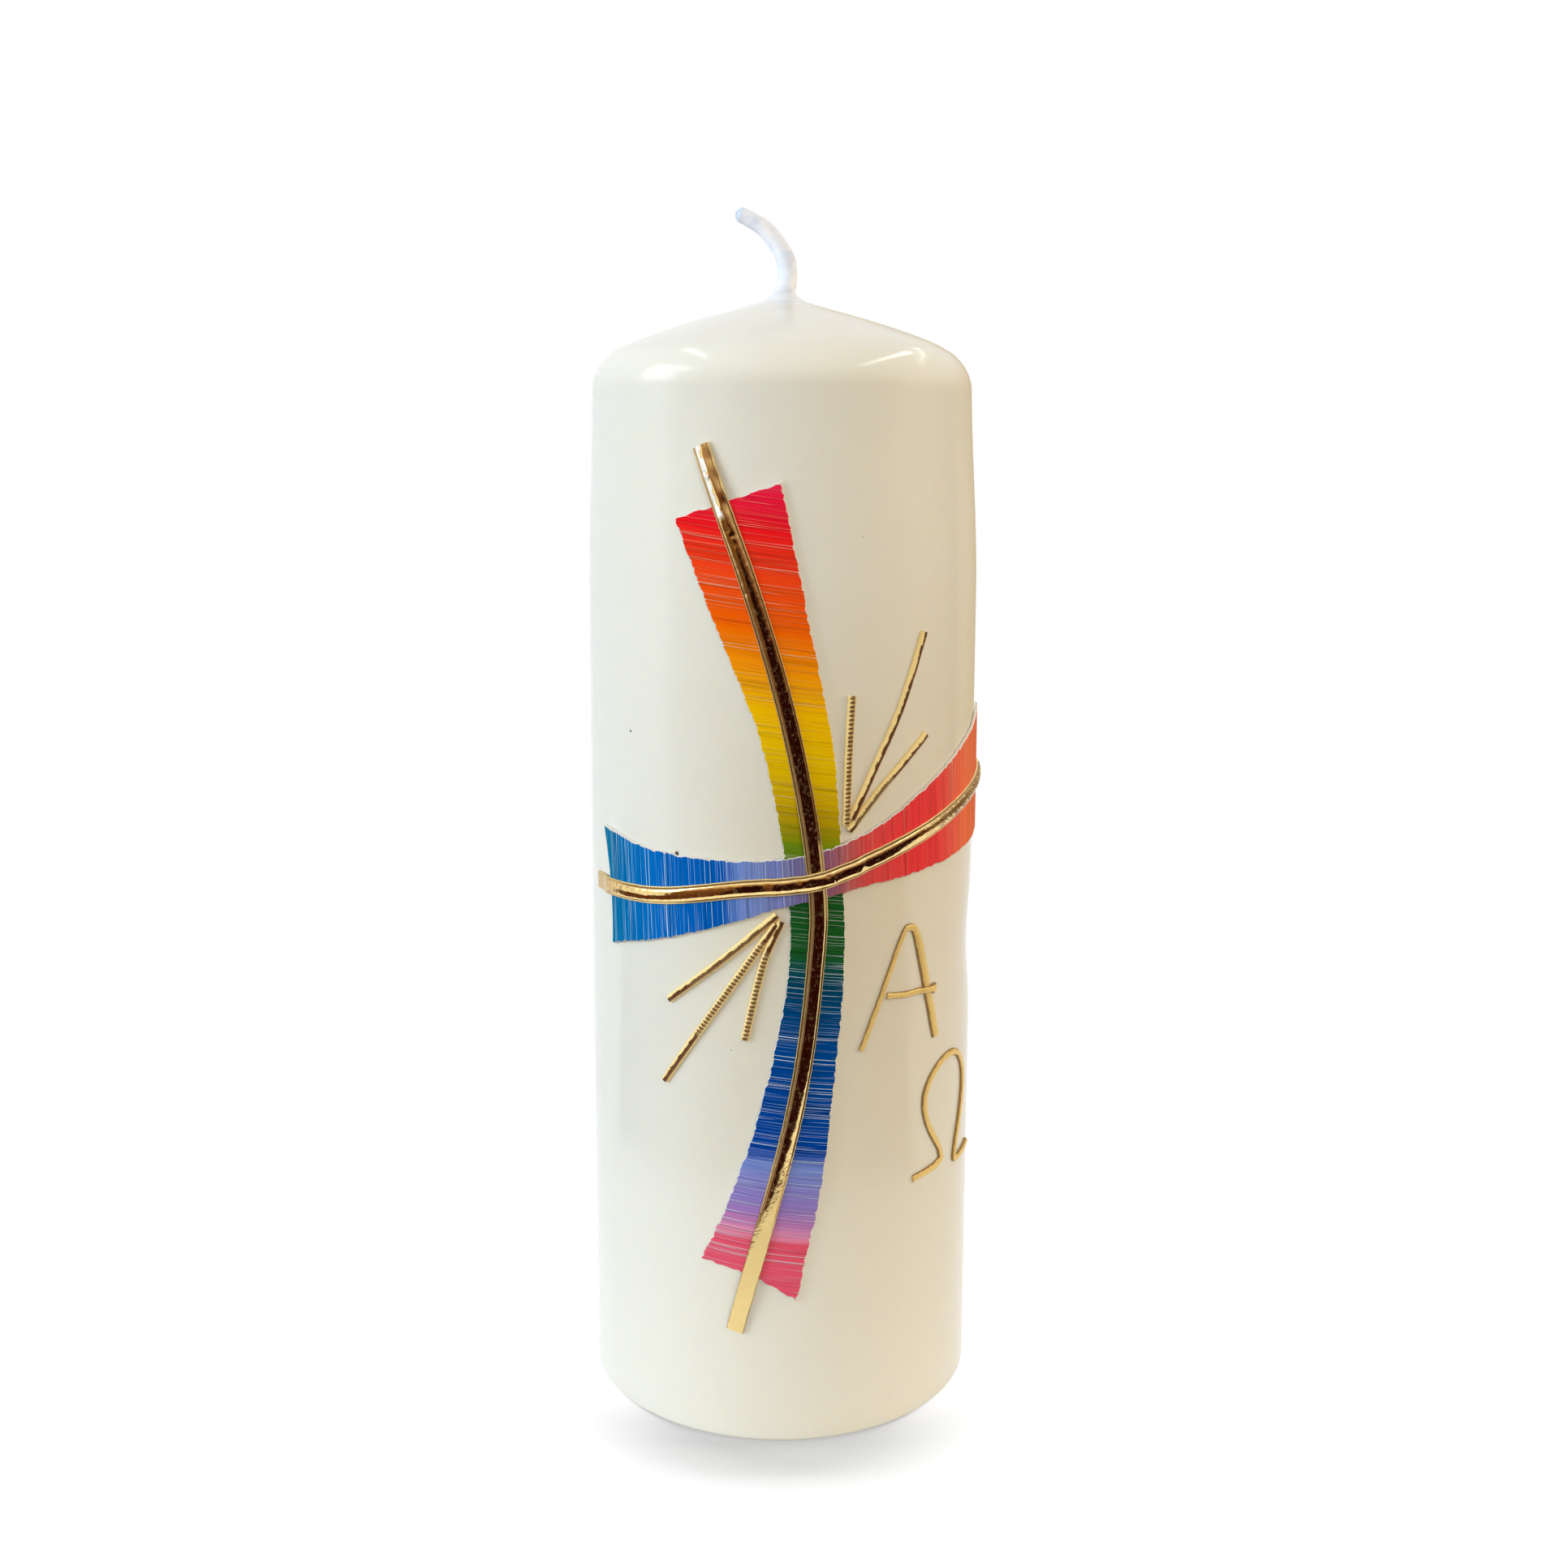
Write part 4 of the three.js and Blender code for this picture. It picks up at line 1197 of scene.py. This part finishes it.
ray_shape = crowned_profile(RAY_WIDTH, RAY_HEIGHT, 0, 0.14, 15)
for number, (node, route) in enumerate(RAY_ROUTES.items()):
    gold = gold_foil(f"gold {node} foil", 0.35, 0.1, 0.15, LIGHT_GOLD, 1.0, ray_pattern(*RAY_RIBS[node]))
    strip_piece(node, route, 0.08, ray_shape, seat_on_wall, ribbed_top, gold, "gold_ray_wax",
                0.05, 40 + number)

letter_shape = crowned_profile(LETTER_WIDTH, LETTER_HEIGHT, 0, 0.12, 13)
letter_gold = gold_foil("gold letter foil", 0.4, 0.12, 0.3, LETTER_GOLD, 0.75, letter_pattern)
for number, (node, route) in enumerate(LETTER_ROUTES.items()):
    seat = seat_over_leg if node == "alpha_bar" else seat_on_wall
    strip_piece(node, route, 0.2, letter_shape, seat, wire_top, letter_gold, "gold_letter_wax",
                0.06, 60 + number, LETTER_SPREADS[node])


# ---- stage, lights and camera -------------------------------------------------------------

FLOOR_REACH = 3000
FLOOR_DROP = 0.1
NEAR_FLOOR = 80
FAR_FLOOR = 160
CONTACT_REACH = 20


def ray_is(tree, *kinds):
    """1 for a ray of one of these kinds."""
    path = put(tree, "ShaderNodeLightPath").outputs
    return greatest(*(Value(path[f"Is {kind} Ray"]) for kind in kinds))


def pale_floor(tree):
    """Pale floor: soft contact shade, strongest at the front left, and cast shadow near the
    candle, white farther out, nothing from below."""
    seen = ray_is(tree, "Camera", "Glossy")
    position = object_position(tree)
    x, y, _ = separated(position)
    open_share = out(tree, "ShaderNodeAmbientOcclusion", {"Distance": CONTACT_REACH * MM}, "AO", samples=8)
    front_share = span_of(x * 0.2 + y, -18 * MM, -45 * MM)
    shaded = calc("MINIMUM", (1.0 - open_share) * front_share, 0.25)
    contact = shaded * (shaded * -4.0 - 1.0) + 0.97
    matte = out(tree, "ShaderNodeBsdfDiffuse", {"Color": span_of(seen, 0, 1, 0.47, 0.15)})
    glow = out(tree, "ShaderNodeEmission", {"Strength": seen * contact})
    lit = out(tree, "ShaderNodeAddShader", {0: matte, 1: glow})
    white = out(tree, "ShaderNodeEmission", {"Strength": seen})
    away = out(tree, "ShaderNodeVectorMath", {0: position}, "Value", operation="LENGTH")
    far = span_of(away, NEAR_FLOOR * MM, FAR_FLOOR * MM)
    shown = out(tree, "ShaderNodeMixShader", {0: far, 1: lit, 2: white})
    below = out(tree, "ShaderNodeNewGeometry", output="Backfacing")
    clear = out(tree, "ShaderNodeBsdfTransparent")
    return out(tree, "ShaderNodeMixShader", {0: below, 1: shown, 2: clear})


add_surface("floor", "floor", np.array([
    (-FLOOR_REACH, -FLOOR_REACH, -FLOOR_DROP), (FLOOR_REACH, -FLOOR_REACH, -FLOOR_DROP),
    (FLOOR_REACH, FLOOR_REACH, -FLOOR_DROP), (-FLOOR_REACH, FLOOR_REACH, -FLOOR_DROP)]),
    [np.array([[0, 1, 2, 3]])], new_material("pale floor", pale_floor))

BROWN = [(0, 112, 76, 46), (0.34, 112, 76, 46), (0.5, 170, 124, 84), (1, 240, 228, 210)]
MAROON = [(0, 40, 11, 13), (0.34, 34, 10, 12), (0.5, 120, 76, 56), (1, 236, 220, 200)]
AMBER = [(0, 98, 62, 34), (0.6, 98, 62, 34), (1, 240, 226, 204)]
SAND = [(0, 206, 184, 146), (0.6, 206, 184, 146), (1, 255, 255, 255)]
GROUND_MAROON = [(0, 42, 12, 14), (1, 42, 12, 14)]
GROUND_BROWN = [(0, 96, 56, 38), (1, 96, 56, 38)]
REFLECTED_CARDS = [
    # name, azimuths in degrees, distances and heights of the lower or near and the upper or far
    # edge, colours of the glow by share of the height
    ("left_card", (-78, -35), (520, 520), (0, 500), BROWN),
    ("far_right_card", (66, 112), (520, 520), (0, 300), AMBER),
    ("back_right_card", (112, 172), (520, 520), (0, 420), SAND),
    ("right_card", (-35, 66), (520, 520), (0, 500), MAROON),
    ("ground_card", (-40, 66), (140, 520), (0.5, 0.5), GROUND_MAROON),
    ("left_ground_card", (-115, -40), (140, 520), (0.5, 0.5), GROUND_BROWN),
]
CARD_COLUMNS = 40


def reflected_card(name, azimuths, distances, heights, colours):
    """Card on an arc round the candle that only reflections see, glowing by its height."""
    def glow(tree):
        height = separated(object_position(tree))[2]
        stops = [(share, srgb(*colour)) for share, *colour in colours]
        return out(tree, "ShaderNodeEmission", {"Color": ramp(span_of(height, 0, heights[1] * MM), stops)})

    azimuth = np.radians(np.linspace(*azimuths, CARD_COLUMNS))
    around = pairs(np.sin(azimuth), -np.cos(azimuth))
    edges = [np.column_stack([around * distance, np.full(CARD_COLUMNS, height)])
             for distance, height in zip(distances, heights)]
    card = add_surface(name, name, np.concatenate(edges), [grid_quads(2, CARD_COLUMNS)],
                       new_material(f"{name} glow", glow))
    for ray in ("camera", "diffuse", "transmission", "volume_scatter", "shadow"):
        setattr(card, f"visible_{ray}", False)


for row in REFLECTED_CARDS:
    reflected_card(*row)

LAMPS = [
    # name, azimuth and elevation in degrees, distance, width and height in metres, watts, colour,
    # whether it only shows in reflections
    ("left_window", -80, 14, 0.9, 0.5, 0.6, 6.2, (0.77, 0.89, 1.0), False),
    ("front_fill", 4, 10, 1.1, 0.9, 0.7, 4.5, (1.0, 0.89, 0.72), False),
    ("right_fill", 72, 14, 1.0, 0.5, 0.6, 3.6, (1.0, 0.80, 0.48), False),
    ("back_top", 180, 58, 0.9, 0.5, 0.5, 0.6, (1.0, 0.99, 0.97), False),
    ("shoulder_window", -88, 31, 0.9, 0.42, 0.42, 1.9, (0.92, 0.97, 1.0), True),
    ("shoulder_glint_left", -110, 63, 0.8, 0.4, 0.02, 0.2, (1.0, 1.0, 1.0), True),
    ("shoulder_glint_right", 86, 54, 0.8, 0.8, 0.025, 0.6, (1.0, 0.98, 0.94), True),
    ("shoulder_glint_far_right", 120, 42, 0.8, 0.5, 0.02, 0.15, (1.0, 0.98, 0.94), True),
]
LAMP_AIM = np.array([0, 0, 0.11])


def soft_lamp(name, azimuth, elevation, distance, width, height, watts, colour, mirrored):
    """Area lamp aimed at the middle of the candle; azimuth 0 is the front and rises to the right.
    A mirrored one only shows in reflections, any other only lights."""
    data = bpy.data.lights.new(name, "AREA")
    data.shape = "RECTANGLE"
    data.size, data.size_y = width, height
    data.energy = watts
    data.color = colour
    lamp = add_object(name, data)
    lamp.visible_glossy = mirrored
    lamp.visible_diffuse = not mirrored
    a, e = math.radians(azimuth), math.radians(elevation)
    outward = np.array([math.sin(a) * math.cos(e), -math.cos(a) * math.cos(e), math.sin(e)])
    turn = Matrix.Rotation(a, 4, "Z") @ Matrix.Rotation(math.pi / 2 - e, 4, "X")
    lamp.matrix_world = Matrix.Translation((LAMP_AIM + outward * distance).tolist()) @ turn


for row in LAMPS:
    soft_lamp(*row)

world = bpy.data.worlds.new("studio")
bpy.context.scene.world = world
sky = emptied_tree(world)
ambient = out(sky, "ShaderNodeBackground", {"Color": (0.97, 0.985, 1.0, 1), "Strength": 0.52})
white = out(sky, "ShaderNodeBackground", {"Color": (1, 1, 1, 1), "Strength": 1.0})
seen_white = ray_is(sky, "Camera", "Glossy", "Transmission")
mixed = out(sky, "ShaderNodeMixShader", {0: seen_white, 1: ambient, 2: white})
put(sky, "ShaderNodeOutputWorld", {0: mixed})

camera_data = bpy.data.cameras.new("camera")
camera = add_object("camera", camera_data)
camera_data.sensor_width = 36
camera_data.lens = CAMERA_LENS
camera_data.shift_x, camera_data.shift_y = CAMERA_SHIFT
camera_data.clip_start = 0.01
camera.matrix_world = (
    Matrix.Translation([MM * length for length in CAMERA_PLACE])
    @ Matrix.Rotation(math.radians(CAMERA_AZIMUTH), 4, "Z")
    @ Matrix.Rotation(math.radians(90 - CAMERA_DOWN), 4, "X")
    @ Matrix.Rotation(math.radians(CAMERA_ROLL), 4, "Z"))
bpy.context.scene.camera = camera
bpy.context.scene.view_settings.view_transform = "Standard"
